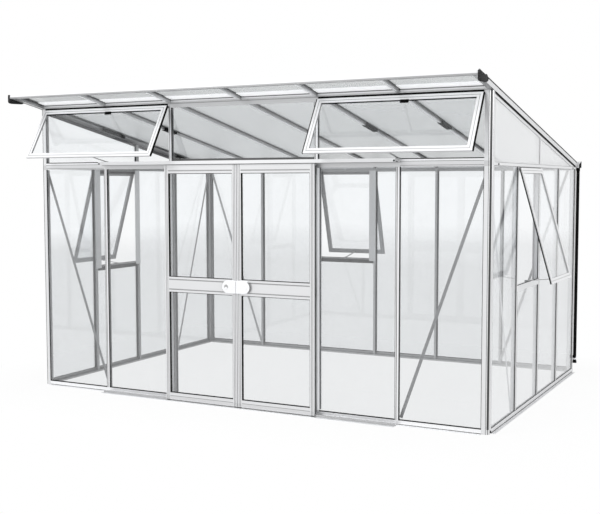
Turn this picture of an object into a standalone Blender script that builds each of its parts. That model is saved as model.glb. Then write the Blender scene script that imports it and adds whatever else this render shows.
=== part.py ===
"""Glass greenhouse with a single-pitch roof, high at the front where two doors slide apart.

Metres, +Z up, front towards -Y. The origin is on the ground under the middle of the front wall's outer face.
Aluminium bars stand between sheets of glass, and every wall is six or four equal panes wide.
"""

import math

import bmesh
import bpy
from mathutils import Matrix, Vector

# Driving sizes
GLASS_WIDTH = 0.610
BAR_GAP = 0.007
FRONT_BAYS = 6
SIDE_BAYS = 4
CORNER = 0.034
BACK_HEIGHT = 1.793
RISE = 0.468
OVERHANG = 0.340
EDGE_OUT = 0.005
FIT = 0.0003
RUNNING = 0.005

# Wall grid
PITCH = GLASS_WIDTH + BAR_GAP
WIDTH = FRONT_BAYS * PITCH + 2 * CORNER
DEPTH = SIDE_BAYS * PITCH + 2 * CORNER
FRONT_HEIGHT = BACK_HEIGHT + RISE
SLOPE = math.atan2(RISE, DEPTH)
DOOR_BAYS = 2
DOOR_LINE = DOOR_BAYS * PITCH / 2
WINDOW_BAYS = {"right": 2, "left": 3, "back": 4}
ROOF_WIDTH = WIDTH + 2 * EDGE_OUT

# Glazing bar section, depths measured inward from the outer face
WALL = 0.036
CAP_WIDTH = 0.024
CAP_THICK = 0.004
GLASS_THICK = 0.004
NECK_WIDTH = 0.006
SHOULDER_WIDTH = 0.024
SHOULDER_THICK = 0.003
WEB_WIDTH = 0.005
FOOT_WIDTH = 0.020
FOOT_THICK = 0.003
SHOULDER_DEPTH = CAP_THICK + GLASS_THICK + 2 * FIT
SHOULDER_BACK = SHOULDER_DEPTH + SHOULDER_THICK
SET_BACK = 0.0006
LAP = 0.0015

# Corner post
POST_LEG = 0.052
POST_CHAMFER = 0.021
POST_GROOVE = 0.003

# Sill and rails
SILL_HEIGHT = 0.032
SILL_FLANGE = 0.028
SILL_DEPTH = 0.045
SILL_TOE = 0.014
SHEET = 0.003
GLASS_SEAT = 0.014
CHANNEL_DOWN = 0.012
CHANNEL_UP = 0.010
GLASS_BITE = 0.008
SHELF = 0.004
EAVE_DROP = 0.028
EAVE_BOTTOM = BACK_HEIGHT - EAVE_DROP
SIDE_TRANSOM_RISE = 0.007
SIDE_TRANSOM_HEIGHT = 0.026
SIDE_TRANSOM_BOTTOM = EAVE_BOTTOM + SIDE_TRANSOM_RISE
SIDE_TRANSOM_TOP = SIDE_TRANSOM_BOTTOM + SIDE_TRANSOM_HEIGHT
TRANSOM_HEIGHT = 0.050
TRANSOM_BOTTOM = SIDE_TRANSOM_BOTTOM - SHELF
TRANSOM_TOP = TRANSOM_BOTTOM + TRANSOM_HEIGHT
RAIL_HEIGHT = 0.034
OVERRUN = 0.010

# Doors
DOOR_POST_DEPTH = 0.065
FIN_THICK = 0.003
FIN_OFFSET = 0.024
LEAF_FACE = -0.060
LEAF_THICK = 0.026
LEAF_BACK = LEAF_FACE + LEAF_THICK
TRACK_OVER_TRANSOM = 0.006
TRACK_HEIGHT = 0.025
LEDGE_DROP = 0.026
LEAF_DROP = 0.030
TRACK_TOP = TRANSOM_TOP + TRACK_OVER_TRANSOM
LEDGE_TOP = TRACK_TOP - LEDGE_DROP
LEAF_TOP = TRACK_TOP - LEAF_DROP
LEAF_BOTTOM = 0.010
LEAF_LAP = 0.016
LEAF_OUTER = DOOR_LINE + LEAF_LAP
STILE = 0.035
TOP_RAIL = 0.062
BOTTOM_RAIL = 0.053
MID_RAIL_BELOW = 0.062
MID_RAIL_ABOVE = 0.052
HANDLE_LEVEL = 0.900
TOP_RAIL_BOTTOM = LEAF_TOP - TOP_RAIL
MID_RAIL = (HANDLE_LEVEL - MID_RAIL_BELOW, HANDLE_LEVEL + MID_RAIL_ABOVE)
BOTTOM_RAIL_TOP = LEAF_BOTTOM + BOTTOM_RAIL
FLUTE_WIDTH = 0.003
FLUTE_DEPTH = 0.002
FLUTE_SHARES = (1 / 3, 2 / 3)
BEAD_INSET = 0.018
DOOR_TRAVEL = GLASS_WIDTH - OVERRUN
TRACK_END = LEAF_OUTER + DOOR_TRAVEL + OVERRUN
TRACK_FACE = -0.075
LEDGE_REACH = 0.026
LEDGE_LIP = 0.003
WHEEL_RADIUS = 0.009
WHEEL_WIDTH = 0.010
WHEEL_SHARES = (0.14, 0.86)
WHEEL_LINE = -0.014
AXLE_RADIUS = 0.003
HANGER_WIDTH = 0.024
HANGER_THICK = 0.003
FLOOR_TRACK_FRONT = -0.092
FLOOR_TRACK_THICK = 0.004
RIB_THICK = 0.003
RIB_TOP = 0.018
HANDLE_LENGTH = 0.240
HANDLE_HEIGHT = 0.095
HANDLE_PROUD = 0.020
HANDLE_EDGE = 0.004
LOCK_INSET = 0.040
LOCK_RADIUS = 0.011
LOCK_PROUD = 0.003

# Hinged sashes
SASH_BAR = 0.038
SASH_THICK = 0.015
SASH_GROOVE = 0.002
VENT_DROP = 0.024
VENT_HINGE = FRONT_HEIGHT - VENT_DROP
VENT_LAP = 0.027
VENT_LENGTH = VENT_HINGE - TRANSOM_TOP + VENT_LAP
VENT_OPEN = math.radians(31.0)
VENT_CLEAR = 0.006
WINDOW_OPEN = math.radians(16.0)
WINDOW_WIDTH = PITCH - 2 * BAR_GAP
WINDOW_LEVEL = 0.887
WINDOW_SILL_HEIGHT = 0.044
WINDOW_SILL = (WINDOW_LEVEL, WINDOW_LEVEL + WINDOW_SILL_HEIGHT)
WINDOW_HEAD = 0.029
HINGE_BITE = 0.010
SIDE_HINGE = SIDE_TRANSOM_BOTTOM - LAP - HINGE_BITE
BACK_HINGE = EAVE_BOTTOM + HINGE_BITE
WINDOW_LAP = 0.0155
WINDOW_LENGTH = SIDE_HINGE - WINDOW_SILL[1] + WINDOW_LAP
STAY_WIDTH = 0.014
STAY_THICK = 0.004
STAY_REACH = 0.026
STAY_PAD = 0.012

# Braces
BRACE_WIDTH = 0.022
BRACE_THICK = 0.003
BRACE_STEP = 0.018

# Roof edge
FASCIA_TOP = 0.040
FASCIA_DROP = 0.004
FASCIA_LIP = 0.020
EDGE_DROP = 0.002
EDGE_CHAMFER = 0.008
EDGE_CAP = EDGE_OUT + 0.050
EDGE_WEB = EDGE_OUT + 0.020
CAP_LENGTH = 0.178
CAP_HEIGHT = 0.052
CAP_PLATE = 0.016
CAP_RISE = 0.010
CAP_SHARES = ((0.00, 0.24), (0.05, 0.06), (0.20, 0.00), (0.78, 0.06), (0.93, 0.24), (1.00, 0.50), (0.84, 0.92),
              (0.73, 1.00), (0.48, 0.88), (0.25, 0.93), (0.06, 1.26), (0.01, 1.28), (0.00, 0.80))
RAFTER_STOP = 0.010
GLASS_TAIL = 0.030

# Gutter and downpipe
GUTTER_DROP = 0.007
GUTTER_INNER = 0.028
GUTTER_OUTER = 0.056
GUTTER_BOTTOM = BACK_HEIGHT - GUTTER_DROP
GUTTER_INNER_TOP = GUTTER_BOTTOM + GUTTER_INNER
GUTTER_OUTER_TOP = GUTTER_BOTTOM + GUTTER_OUTER
GUTTER_REACH = 0.085
GUTTER_PAST = 0.020
PIPE_RADIUS = 0.014
PIPE_WALL = 0.002
PIPE_BOTTOM = 0.070
PIPE_PAST = 0.004
CLIP_LEVEL = 0.120
CLIP_HEIGHT = 0.022
CLIP_WIDTH = 0.028
ROUND_SIDES = 20


def roof_under(y):
    """Height of the rafters' underside at a distance y behind the front face."""
    return FRONT_HEIGHT - y * math.tan(SLOPE)


# Scene, collections and finishes
for old in list(bpy.data.objects):
    bpy.data.objects.remove(old)


def collection(name):
    made = bpy.data.collections.new(name)
    bpy.context.scene.collection.children.link(made)
    return made


PARTS = collection("glass_greenhouse")
CUTTERS = collection("cutters")


def finish(name, colour, metallic, roughness, alpha=1.0):
    """A Principled material with one colour."""
    made = bpy.data.materials.new(name)
    made.use_nodes = True
    shader = made.node_tree.nodes["Principled BSDF"]
    shader.inputs["Base Color"].default_value = (*colour, 1.0)
    shader.inputs["Metallic"].default_value = metallic
    shader.inputs["Roughness"].default_value = roughness
    shader.inputs["Alpha"].default_value = alpha
    return made


ALUMINIUM = {"colour": (0.80, 0.81, 0.82), "metallic": 1.0, "roughness": 0.35}
WHITE_METAL = {"colour": (0.90, 0.90, 0.90), "metallic": 0.0, "roughness": 0.35}
DARK_PLASTIC = {"colour": (0.06, 0.06, 0.065), "metallic": 0.0, "roughness": 0.50}
GLASS = {"colour": (0.86, 0.92, 0.91), "metallic": 0.0, "roughness": 0.03, "alpha": 0.25}


# Placing
def frame_at(origin, x_axis, y_axis):
    """A right-handed frame whose columns are two axes and their cross product."""
    x_axis = Vector(x_axis)
    y_axis = Vector(y_axis)
    turned = Matrix((x_axis, y_axis, x_axis.cross(y_axis))).transposed().to_4x4()
    return Matrix.Translation(origin) @ turned


# Each wall's frame runs along the wall, inward and up. The roof's runs across, down the slope and out.
FRONT = frame_at((-WIDTH / 2, 0, 0), (1, 0, 0), (0, 1, 0))
RIGHT = frame_at((WIDTH / 2, 0, 0), (0, 1, 0), (-1, 0, 0))
BACK = frame_at((WIDTH / 2, DEPTH, 0), (-1, 0, 0), (0, -1, 0))
LEFT = frame_at((-WIDTH / 2, DEPTH, 0), (0, -1, 0), (1, 0, 0))
ROOF = frame_at((0, 0, FRONT_HEIGHT), (1, 0, 0), (0, math.cos(SLOPE), -math.sin(SLOPE)))
INWARD_UP = ((0, 1, 0), (0, 0, 1))
ALONG_UP = ((1, 0, 0), (0, 0, 1))


def section_mesh(loop, thickness):
    """One closed outline drawn as a face and extruded through a thickness, half to each side."""
    mesh = bpy.data.meshes.new("section")
    shape = bmesh.new()
    drawn = shape.faces.new([shape.verts.new((x, y, -thickness / 2)) for x, y in loop])
    raised = bmesh.ops.extrude_face_region(shape, geom=[drawn])
    lifted = [part for part in raised["geom"] if isinstance(part, bmesh.types.BMVert)]
    bmesh.ops.translate(shape, vec=(0, 0, thickness), verts=lifted)
    bmesh.ops.recalc_face_normals(shape, faces=shape.faces)
    shape.to_mesh(mesh)
    shape.free()
    return mesh


def outline_mesh(loops, thickness):
    """A flat outline with holes, its first loop the outside, given a thickness."""
    if len(loops) == 1:
        return section_mesh(loops[0], thickness)
    curve = bpy.data.curves.new("outline", "CURVE")
    curve.dimensions = "2D"
    curve.fill_mode = "BOTH"
    curve.extrude = thickness / 2
    for loop in loops:
        spline = curve.splines.new("POLY")
        spline.points.add(len(loop) - 1)
        for point, (x, y) in zip(spline.points, loop):
            point.co = (x, y, 0, 1)
        spline.use_cyclic_u = True
    holder = bpy.data.objects.new("outline", curve)
    CUTTERS.objects.link(holder)
    graph = bpy.context.evaluated_depsgraph_get()
    mesh = bpy.data.meshes.new_from_object(holder.evaluated_get(graph))
    bpy.data.objects.remove(holder)
    bpy.data.curves.remove(curve)
    shape = bmesh.new()
    shape.from_mesh(mesh)
    bmesh.ops.remove_doubles(shape, verts=shape.verts, dist=FIT / 10)
    bmesh.ops.recalc_face_normals(shape, faces=shape.faces)
    shape.to_mesh(mesh)
    shape.free()
    return mesh


def stock(mesh, matrix):
    """An unfinished object, kept with the cutters until it is named or joined."""
    made = bpy.data.objects.new("stock", mesh)
    made.matrix_world = matrix
    made.hide_render = True
    made.display_type = "WIRE"
    CUTTERS.objects.link(made)
    return made


def node(name, made, look):
    """Names an object as a finished piece and gives it its own material."""
    made.name = name
    made.data.name = name
    made.hide_render = False
    made.display_type = "TEXTURED"
    made.data.materials.clear()
    made.data.materials.append(finish(name + "_finish", **look))
    CUTTERS.objects.unlink(made)
    PARTS.objects.link(made)
    return made


def joined(pieces, cutters=()):
    """One solid from pieces that overlap, less the cutters."""
    base, *others = pieces
    for operation, tools in (("UNION", others), ("DIFFERENCE", cutters)):
        for tool in tools:
            step = base.modifiers.new(operation.lower(), "BOOLEAN")
            step.operation = operation
            step.solver = "EXACT"
            step.object = tool
    bpy.context.view_layer.update()
    graph = bpy.context.evaluated_depsgraph_get()
    mesh = bpy.data.meshes.new_from_object(base.evaluated_get(graph))
    matrix = base.matrix_world.copy()
    for spent in (*pieces, *cutters):
        bpy.data.objects.remove(spent)
    return stock(mesh, matrix)


def box(low, high, frame):
    """A box between two corners of a frame."""
    low = Vector(low)
    high = Vector(high)
    mesh = bpy.data.meshes.new("box")
    shape = bmesh.new()
    bmesh.ops.create_cube(shape, size=1.0)
    bmesh.ops.scale(shape, vec=high - low, verts=shape.verts)
    bmesh.ops.translate(shape, vec=(low + high) / 2, verts=shape.verts)
    shape.to_mesh(mesh)
    shape.free()
    return stock(mesh, frame)


def cylinder(radius, start, end, frame):
    """A cylinder from start to end, its two points on a line in the given frame."""
    start = Vector(start)
    end = Vector(end)
    mesh = bpy.data.meshes.new("cylinder")
    shape = bmesh.new()
    bmesh.ops.create_cone(shape, cap_ends=True, segments=ROUND_SIDES, radius1=radius, radius2=radius,
                          depth=(end - start).length)
    shape.to_mesh(mesh)
    shape.free()
    turned = (end - start).to_track_quat("Z", "Y").to_matrix().to_4x4()
    return stock(mesh, frame @ Matrix.Translation((start + end) / 2) @ turned)


def upright(section, along, bottom, top, wall):
    """A section of (along, inward) points standing at a place along a wall."""
    place = Matrix.Translation((along, 0, (bottom + top) / 2))
    return stock(outline_mesh([section], top - bottom), wall @ place)


def rail(section, start, end, wall):
    """A section of (inward, up) points running along a wall."""
    place = frame_at(((start + end) / 2, 0, 0), *INWARD_UP)
    return stock(outline_mesh([section], end - start), wall @ place)


def sheet(outline, wall):
    """Glass cut to an outline of (along, up) points, behind the caps of a wall."""
    place = frame_at((0, CAP_THICK + FIT + GLASS_THICK / 2, 0), *ALONG_UP)
    return stock(outline_mesh([outline], GLASS_THICK), wall @ place)


def rectangle(x0, y0, x1, y1):
    return [(x0, y0), (x1, y0), (x1, y1), (x0, y1)]


# Sections
def glazing_bar(set_back=0.0, depth=WALL):
    """Cap, neck, shoulder, web and foot of a glazing bar, as (across, inward) points."""
    half = [
        (CAP_WIDTH / 2, set_back),
        (CAP_WIDTH / 2, CAP_THICK - set_back),
        (NECK_WIDTH / 2, CAP_THICK - set_back),
        (NECK_WIDTH / 2, SHOULDER_DEPTH + set_back),
        (SHOULDER_WIDTH / 2, SHOULDER_DEPTH + set_back),
        (SHOULDER_WIDTH / 2, SHOULDER_BACK - set_back),
        (WEB_WIDTH / 2, SHOULDER_BACK - set_back),
        (WEB_WIDTH / 2, depth - FOOT_THICK - set_back),
        (FOOT_WIDTH / 2, depth - FOOT_THICK - set_back),
        (FOOT_WIDTH / 2, depth - set_back),
    ]
    return half + [(-across, inward) for across, inward in reversed(half)]


def corner_section():
    """A chamfered corner post with a glass channel in each leg, its outer corner at 0, 0."""
    leg = [
        (POST_CHAMFER, 0),
        (POST_CHAMFER, POST_GROOVE),
        (POST_CHAMFER + POST_GROOVE, POST_GROOVE),
        (POST_CHAMFER + POST_GROOVE, 0),
        (POST_LEG, 0),
        (POST_LEG, CAP_THICK),
        (WALL, CAP_THICK),
        (WALL, SHOULDER_DEPTH),
        (POST_LEG, SHOULDER_DEPTH),
        (POST_LEG, SHOULDER_BACK),
        (WALL, SHOULDER_BACK),
    ]
    return leg + [(WALL, WALL)] + [(across, inward) for inward, across in reversed(leg)]


def sill_section(channel):
    """Sill with a flange outward, a toe inward and, where asked, the channel that seats the glass."""
    seat = [(SHOULDER_DEPTH, SILL_HEIGHT), (SHOULDER_DEPTH, GLASS_SEAT),
            (CAP_THICK, GLASS_SEAT), (CAP_THICK, SILL_HEIGHT)]
    return [
        (-SILL_FLANGE, 0), (SILL_DEPTH, 0), (SILL_DEPTH, SILL_TOE), (SILL_DEPTH - SHEET, SILL_TOE),
        (SILL_DEPTH - SHEET, SHEET), (SHOULDER_BACK, SHEET), (SHOULDER_BACK, SILL_HEIGHT),
        *(seat if channel else []),
        (0, SILL_HEIGHT), (0, SHEET), (-SILL_FLANGE, SHEET),
    ]


def rail_section(bottom, top, shelf_at, below=False, above=False, set_back=0.0):
    """Rail of an upright plate and an inward shelf, with channels for glass where asked."""
    over = [(SHOULDER_DEPTH, top), (SHOULDER_DEPTH, top - CHANNEL_DOWN),
            (CAP_THICK, top - CHANNEL_DOWN), (CAP_THICK, top)]
    under = [(CAP_THICK, bottom), (CAP_THICK, bottom + CHANNEL_UP),
             (SHOULDER_DEPTH, bottom + CHANNEL_UP), (SHOULDER_DEPTH, bottom)]
    return [
        (set_back, bottom), *(under if below else []), (SHOULDER_BACK - set_back, bottom),
        (SHOULDER_BACK - set_back, shelf_at), (WALL - set_back, shelf_at),
        (WALL - set_back, shelf_at + SHELF), (SHOULDER_BACK - set_back, shelf_at + SHELF),
        (SHOULDER_BACK - set_back, top), *(over if above else []), (set_back, top),
    ]


def comb(panes, bottom, joint):
    """Outline of panes side by side, held together by a strip that the sill or rail hides.

    Each pane is (start, end, top at start, top at end); the slots between them take the bars' necks.
    """
    points = [(panes[0][0], bottom), (panes[-1][1], bottom)]
    for index in range(len(panes) - 1, -1, -1):
        start, end, start_top, end_top = panes[index]
        points += [(end, end_top), (start, start_top)]
        if index:
            points += [(start, joint), (panes[index - 1][1], joint)]
    return points


def bay_line(index):
    """Distance from a corner to the line between two bays."""
    return CORNER + index * PITCH


def mitred_frame(width, height, section):
    """A section of (inset, level) points carried round a rectangle and mitred at its corners."""
    shape = bmesh.new()
    loops = []
    for x_side, y_side in ((-1, -1), (1, -1), (1, 1), (-1, 1)):
        loops.append([
            shape.verts.new((x_side * (width / 2 - inset), y_side * (height / 2 - inset), level))
            for inset, level in section
        ])
    for loop, ahead in zip(loops, loops[1:] + loops[:1]):
        for index in range(len(section)):
            following = (index + 1) % len(section)
            shape.faces.new((loop[index], loop[following], ahead[following], ahead[index]))
    bmesh.ops.recalc_face_normals(shape, faces=shape.faces)
    mesh = bpy.data.meshes.new("frame")
    shape.to_mesh(mesh)
    shape.free()
    return mesh


def channel(start, end, bottom, top, wall):
    """Cutter for the channel between caps and shoulders, along a wall."""
    return box((start, CAP_THICK, bottom), (end, SHOULDER_DEPTH, top), wall)


def brace(start, end, inward, wall):
    """Flat strip between two (along, up) points, on the inner side of a wall."""
    run = Vector((end[0] - start[0], 0, end[1] - start[1]))
    middle = ((start[0] + end[0]) / 2, inward + BRACE_THICK / 2, (start[1] + end[1]) / 2)
    x_axis = run.normalized()
    place = frame_at(middle, x_axis, Vector((0, 1, 0)).cross(x_axis))
    half = (run.length / 2, BRACE_WIDTH / 2, BRACE_THICK / 2)
    return box([-size for size in half], half, wall @ place)


# Wall frames
def wall_bars(bays):
    """Start and end of the rails between two corner posts, and the bar lines between them."""
    length = bays * PITCH + 2 * CORNER
    return POST_LEG + FIT, length - POST_LEG - FIT, [bay_line(index) for index in range(1, bays)]


def window_rails(bay, head_bottom, head_top, wall):
    """Sill and head of a window between two bars."""
    start = bay_line(bay - 1) + LAP
    end = bay_line(bay) - LAP
    low, high = WINDOW_SILL
    sill = rail_section(low, high, high - SHELF - LAP, below=True, set_back=2 * SET_BACK)
    head = rail_section(head_bottom, head_top, head_top - SHELF - LAP, set_back=2 * SET_BACK)
    return [rail(sill, start, end, wall), rail(head, start, end, wall)]


def side_frame(name, wall, window_bay, rises):
    """Side wall: sill, bars, transom, window rails, gable post, sloping rail and brace in one frame."""
    start, end, lines = wall_bars(SIDE_BAYS)
    shelf_at = SIDE_TRANSOM_BOTTOM + CHANNEL_UP
    pieces = [rail(sill_section(False), start, end, wall)]
    pieces += [
        upright(glazing_bar(SET_BACK), line, SHEET / 2, shelf_at + SHELF / 2, wall) for line in lines
    ]
    pieces.append(rail(rail_section(SIDE_TRANSOM_BOTTOM, SIDE_TRANSOM_TOP, shelf_at), start, end, wall))
    head_bottom = SIDE_TRANSOM_BOTTOM - WINDOW_HEAD
    pieces += window_rails(window_bay, head_bottom, SIDE_TRANSOM_BOTTOM - LAP, wall)
    # The sloping rail under the roof's edge
    turn = SLOPE if rises else -SLOPE
    low_corner = BACK_HEIGHT if rises else FRONT_HEIGHT
    along = Vector((math.cos(turn), 0, math.sin(turn)))
    out = Vector((-math.sin(turn), 0, math.cos(turn)))
    sloping = wall @ frame_at((0, 0, low_corner - FIT), along, (0, 1, 0))
    top_section = rail_section(-RAIL_HEIGHT, 0, -2 * SHELF, set_back=SET_BACK)
    high_end = start + RAIL_HEIGHT * math.sin(SLOPE)
    low_end = rail_reaches(SIDE_TRANSOM_BOTTOM + LAP)
    ends = (DEPTH - low_end, DEPTH - high_end) if rises else (high_end, low_end)
    ends = [place / math.cos(turn) for place in ends]
    pieces.append(rail(top_section, ends[0], ends[1], sloping))
    post_line = bay_line(SIDE_BAYS // 2)
    post_top = low_corner + post_line * math.tan(turn) - RAIL_HEIGHT / 2
    pieces.append(upright(glazing_bar(2 * SET_BACK), post_line, shelf_at + LAP, post_top, wall))
    brace_from = (POST_LEG + BRACE_WIDTH / 2, shelf_at)
    brace_to = (bay_line(1), SHEET + BRACE_WIDTH)
    pieces.append(brace(brace_from, brace_to, WALL - BRACE_THICK / 2, wall))
    # Channels for the glass of both storeys
    tip = rail_reaches(SIDE_TRANSOM_TOP)
    if rises:
        glass_run = (end + POST_LEG - tip - OVERRUN, end + POST_LEG)
    else:
        glass_run = (0, tip + OVERRUN)
    slope_run = [place / math.cos(turn) for place in glass_run]
    cutters = [
        channel(0, end + POST_LEG, GLASS_SEAT, SILL_HEIGHT + LAP, wall),
        channel(0, end + POST_LEG, SIDE_TRANSOM_BOTTOM - LAP, SIDE_TRANSOM_BOTTOM + CHANNEL_UP, wall),
        channel(*glass_run, SIDE_TRANSOM_TOP - CHANNEL_DOWN, SIDE_TRANSOM_TOP + LAP, wall),
        channel(*slope_run, -RAIL_HEIGHT - LAP, -RAIL_HEIGHT + CHANNEL_UP, sloping),
    ]
    return node(name, joined(pieces, cutters), ALUMINIUM)


def rail_reaches(height):
    """Distance from the front at which the sloping rail's underside comes down to a height."""
    return (FRONT_HEIGHT - RAIL_HEIGHT / math.cos(SLOPE) - height) / math.tan(SLOPE)


def back_frame(window_bay):
    """Back wall: sill, bars, eave rail under the rafters, window rails and two braces in one frame."""
    start, end, lines = wall_bars(FRONT_BAYS)
    shelf_at = EAVE_BOTTOM + CHANNEL_UP
    pieces = [rail(sill_section(False), start, end, BACK)]
    pieces += [
        upright(glazing_bar(SET_BACK), line, SHEET / 2, shelf_at + SHELF / 2, BACK) for line in lines
    ]
    top = [(depth, roof_under(DEPTH - depth) - FIT) for depth in (SHOULDER_BACK, 0)]
    eave = [
        (0, EAVE_BOTTOM), (SHOULDER_BACK, EAVE_BOTTOM), (SHOULDER_BACK, shelf_at), (WALL, shelf_at),
        (WALL, shelf_at + SHELF), (SHOULDER_BACK, shelf_at + SHELF), *top,
    ]
    pieces.append(rail(eave, start, end, BACK))
    low, high = WINDOW_SILL
    sill = rail_section(low, high, high - SHELF - LAP, below=True, set_back=2 * SET_BACK)
    pieces.append(rail(sill, bay_line(window_bay - 1) + LAP, bay_line(window_bay) - LAP, BACK))
    foot = SHEET + BRACE_WIDTH
    for corner, line in ((start, lines[0]), (end, lines[-1])):
        step = math.copysign(BRACE_WIDTH / 2, line - corner)
        pieces.append(brace((corner + step, shelf_at), (line, foot), WALL - BRACE_THICK / 2, BACK))
    cutters = [
        channel(0, end + POST_LEG, GLASS_SEAT, SILL_HEIGHT + LAP, BACK),
        channel(0, end + POST_LEG, EAVE_BOTTOM - LAP, EAVE_BOTTOM + CHANNEL_UP, BACK),
    ]
    return node("back_wall_frame", joined(pieces, cutters), ALUMINIUM)


# Corner posts
def roof_cutter():
    """Everything above the rafters' underside, for posts that stop under the sloping roof."""
    return box((-WIDTH, -DEPTH, -FIT), (WIDTH, DEPTH + DEPTH, RAIL_HEIGHT), ROOF)


def corner_posts():
    """A post at each corner, cut to the roof's slope; the section turns a quarter from post to post."""
    for name, wall, height in (
        ("front_left_post", FRONT, FRONT_HEIGHT),
        ("front_right_post", RIGHT, FRONT_HEIGHT),
        ("back_right_post", BACK, BACK_HEIGHT),
        ("back_left_post", LEFT, BACK_HEIGHT),
    ):
        made = upright(corner_section(), 0, 0, height + RAIL_HEIGHT / 2, wall)
        node(name, joined([made], [roof_cutter()]), ALUMINIUM)


# Front wall
def front_wall():
    """Sill, bars, door posts, transom, head rail with mullions, and braces."""
    start, end, lines = wall_bars(FRONT_BAYS)
    node("front_sill", rail(sill_section(True), start, end, FRONT), ALUMINIUM)
    bottom = SILL_HEIGHT + FIT
    top = TRANSOM_BOTTOM - FIT
    for name, line in (("front_left_bar", lines[0]), ("front_right_bar", lines[-1])):
        node(name, upright(glazing_bar(), line, bottom, top, FRONT), ALUMINIUM)
    for side, name in ((-1, "left_door_post"), (1, "right_door_post")):
        post = upright(glazing_bar(depth=DOOR_POST_DEPTH), WIDTH / 2 + side * DOOR_LINE, bottom, top, FRONT)
        outer = WIDTH / 2 + side * (DOOR_LINE + FIN_OFFSET)
        inner = WIDTH / 2 + side * (DOOR_LINE + CAP_WIDTH / 2 - LAP)
        fin_back = CAP_THICK - SET_BACK
        arm = box((min(inner, outer), SET_BACK, bottom + LAP), (max(inner, outer), fin_back, top - LAP), FRONT)
        fin = box((outer - FIN_THICK / 2, LEAF_BACK + RUNNING, bottom + 2 * LAP),
                  (outer + FIN_THICK / 2, fin_back - SET_BACK, top - 2 * LAP), FRONT)
        node(name, joined([post, arm, fin]), ALUMINIUM)
    shelf_at = (TRANSOM_BOTTOM + TRANSOM_TOP) / 2
    transom = rail_section(TRANSOM_BOTTOM, TRANSOM_TOP, shelf_at, below=True, above=True)
    node("front_transom", rail(transom, start, end, FRONT), ALUMINIUM)
    head_bottom = FRONT_HEIGHT - RAIL_HEIGHT
    top_edge = [(depth, roof_under(depth) - FIT) for depth in (WALL, 0)]
    head = [
        (0, head_bottom), (SHOULDER_BACK, head_bottom), (SHOULDER_BACK, roof_under(WALL) - SHELF),
        (WALL, roof_under(WALL) - SHELF), *top_edge,
    ]
    pieces = [rail(head, start, end, FRONT)]
    for side in (-1, 1):
        place = WIDTH / 2 + side * DOOR_LINE
        mullion = glazing_bar(SET_BACK)
        pieces.append(upright(mullion, place, TRANSOM_TOP + FIT, head_bottom + RAIL_HEIGHT / 2, FRONT))
    cutter = channel(0, WIDTH, head_bottom - LAP, head_bottom + CHANNEL_UP, FRONT)
    node("front_head_frame", joined(pieces, [cutter]), ALUMINIUM)
    for name, corner, line in (
        ("front_left_brace", start, lines[0]),
        ("front_right_brace", end, lines[-1]),
    ):
        step = math.copysign(POST_LEG - WALL, corner - line)
        low = (line + math.copysign(BRACE_STEP, corner - line), SILL_HEIGHT + BRACE_WIDTH / 2)
        high = (corner + step, TRANSOM_BOTTOM - BRACE_WIDTH)
        node(name, brace(low, high, WALL + FIT, FRONT), ALUMINIUM)


# Glass
def wall_panes(bays, top, window_bay=None):
    """Panes of a wall as comb() takes them; a window's bay keeps only the pane below its sill."""
    panes = []
    for bay in range(1, bays + 1):
        height = WINDOW_SILL[0] + GLASS_BITE if bay == window_bay else top
        panes.append((bay_line(bay - 1) + BAR_GAP / 2, bay_line(bay) - BAR_GAP / 2, height, height))
    return panes


def wall_glass():
    """A sheet for each wall and each part of the front, slotted for the bars' necks."""
    seat = GLASS_SEAT + FIT
    joint = SILL_HEIGHT - FIT
    front = wall_panes(FRONT_BAYS, TRANSOM_BOTTOM + GLASS_BITE)
    node("front_left_glass", sheet(comb(front[:2], seat, joint), FRONT), GLASS)
    node("front_right_glass", sheet(comb(front[-2:], seat, joint), FRONT), GLASS)
    start = front[2][0]
    end = front[3][1]
    low = TRANSOM_TOP - CHANNEL_DOWN + FIT
    high = FRONT_HEIGHT - RAIL_HEIGHT + GLASS_BITE
    node("front_upper_glass", sheet(rectangle(start, low, end, high), FRONT), GLASS)
    sides = SIDE_TRANSOM_BOTTOM + GLASS_BITE
    for name, bay, wall in (
        ("right_wall_glass", WINDOW_BAYS["right"], RIGHT),
        ("left_wall_glass", WINDOW_BAYS["left"], LEFT),
    ):
        node(name, sheet(comb(wall_panes(SIDE_BAYS, sides, bay), seat, joint), wall), GLASS)
    eave = EAVE_BOTTOM + GLASS_BITE
    back = comb(wall_panes(FRONT_BAYS, eave, WINDOW_BAYS["back"]), seat, joint)
    node("back_wall_glass", sheet(back, BACK), GLASS)


def gable_glass():
    """A gable's two panes, from the front corner to where the roof meets the transom."""
    def top(distance):
        return roof_under(distance) - (RAIL_HEIGHT - GLASS_BITE) / math.cos(SLOPE)

    post = bay_line(SIDE_BAYS // 2)
    edges = [(bay_line(0) + BAR_GAP / 2, post - BAR_GAP / 2), (post + BAR_GAP / 2, rail_reaches(SIDE_TRANSOM_TOP))]
    panes = [(start, end, top(start), top(end)) for start, end in edges]
    low = SIDE_TRANSOM_TOP - CHANNEL_DOWN + FIT
    joint = SIDE_TRANSOM_TOP - FIT
    right = comb(panes, low, joint)
    node("right_gable_glass", sheet(right, RIGHT), GLASS)
    left = [(DEPTH - along, up) for along, up in reversed(right)]
    node("left_gable_glass", sheet(left, LEFT), GLASS)


# Roof
def down_slope(y, level=0.0):
    """Distance down the slope of a point y behind the front face, at a level above the underside."""
    return (y - level * math.sin(SLOPE)) / math.cos(SLOPE)


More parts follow.
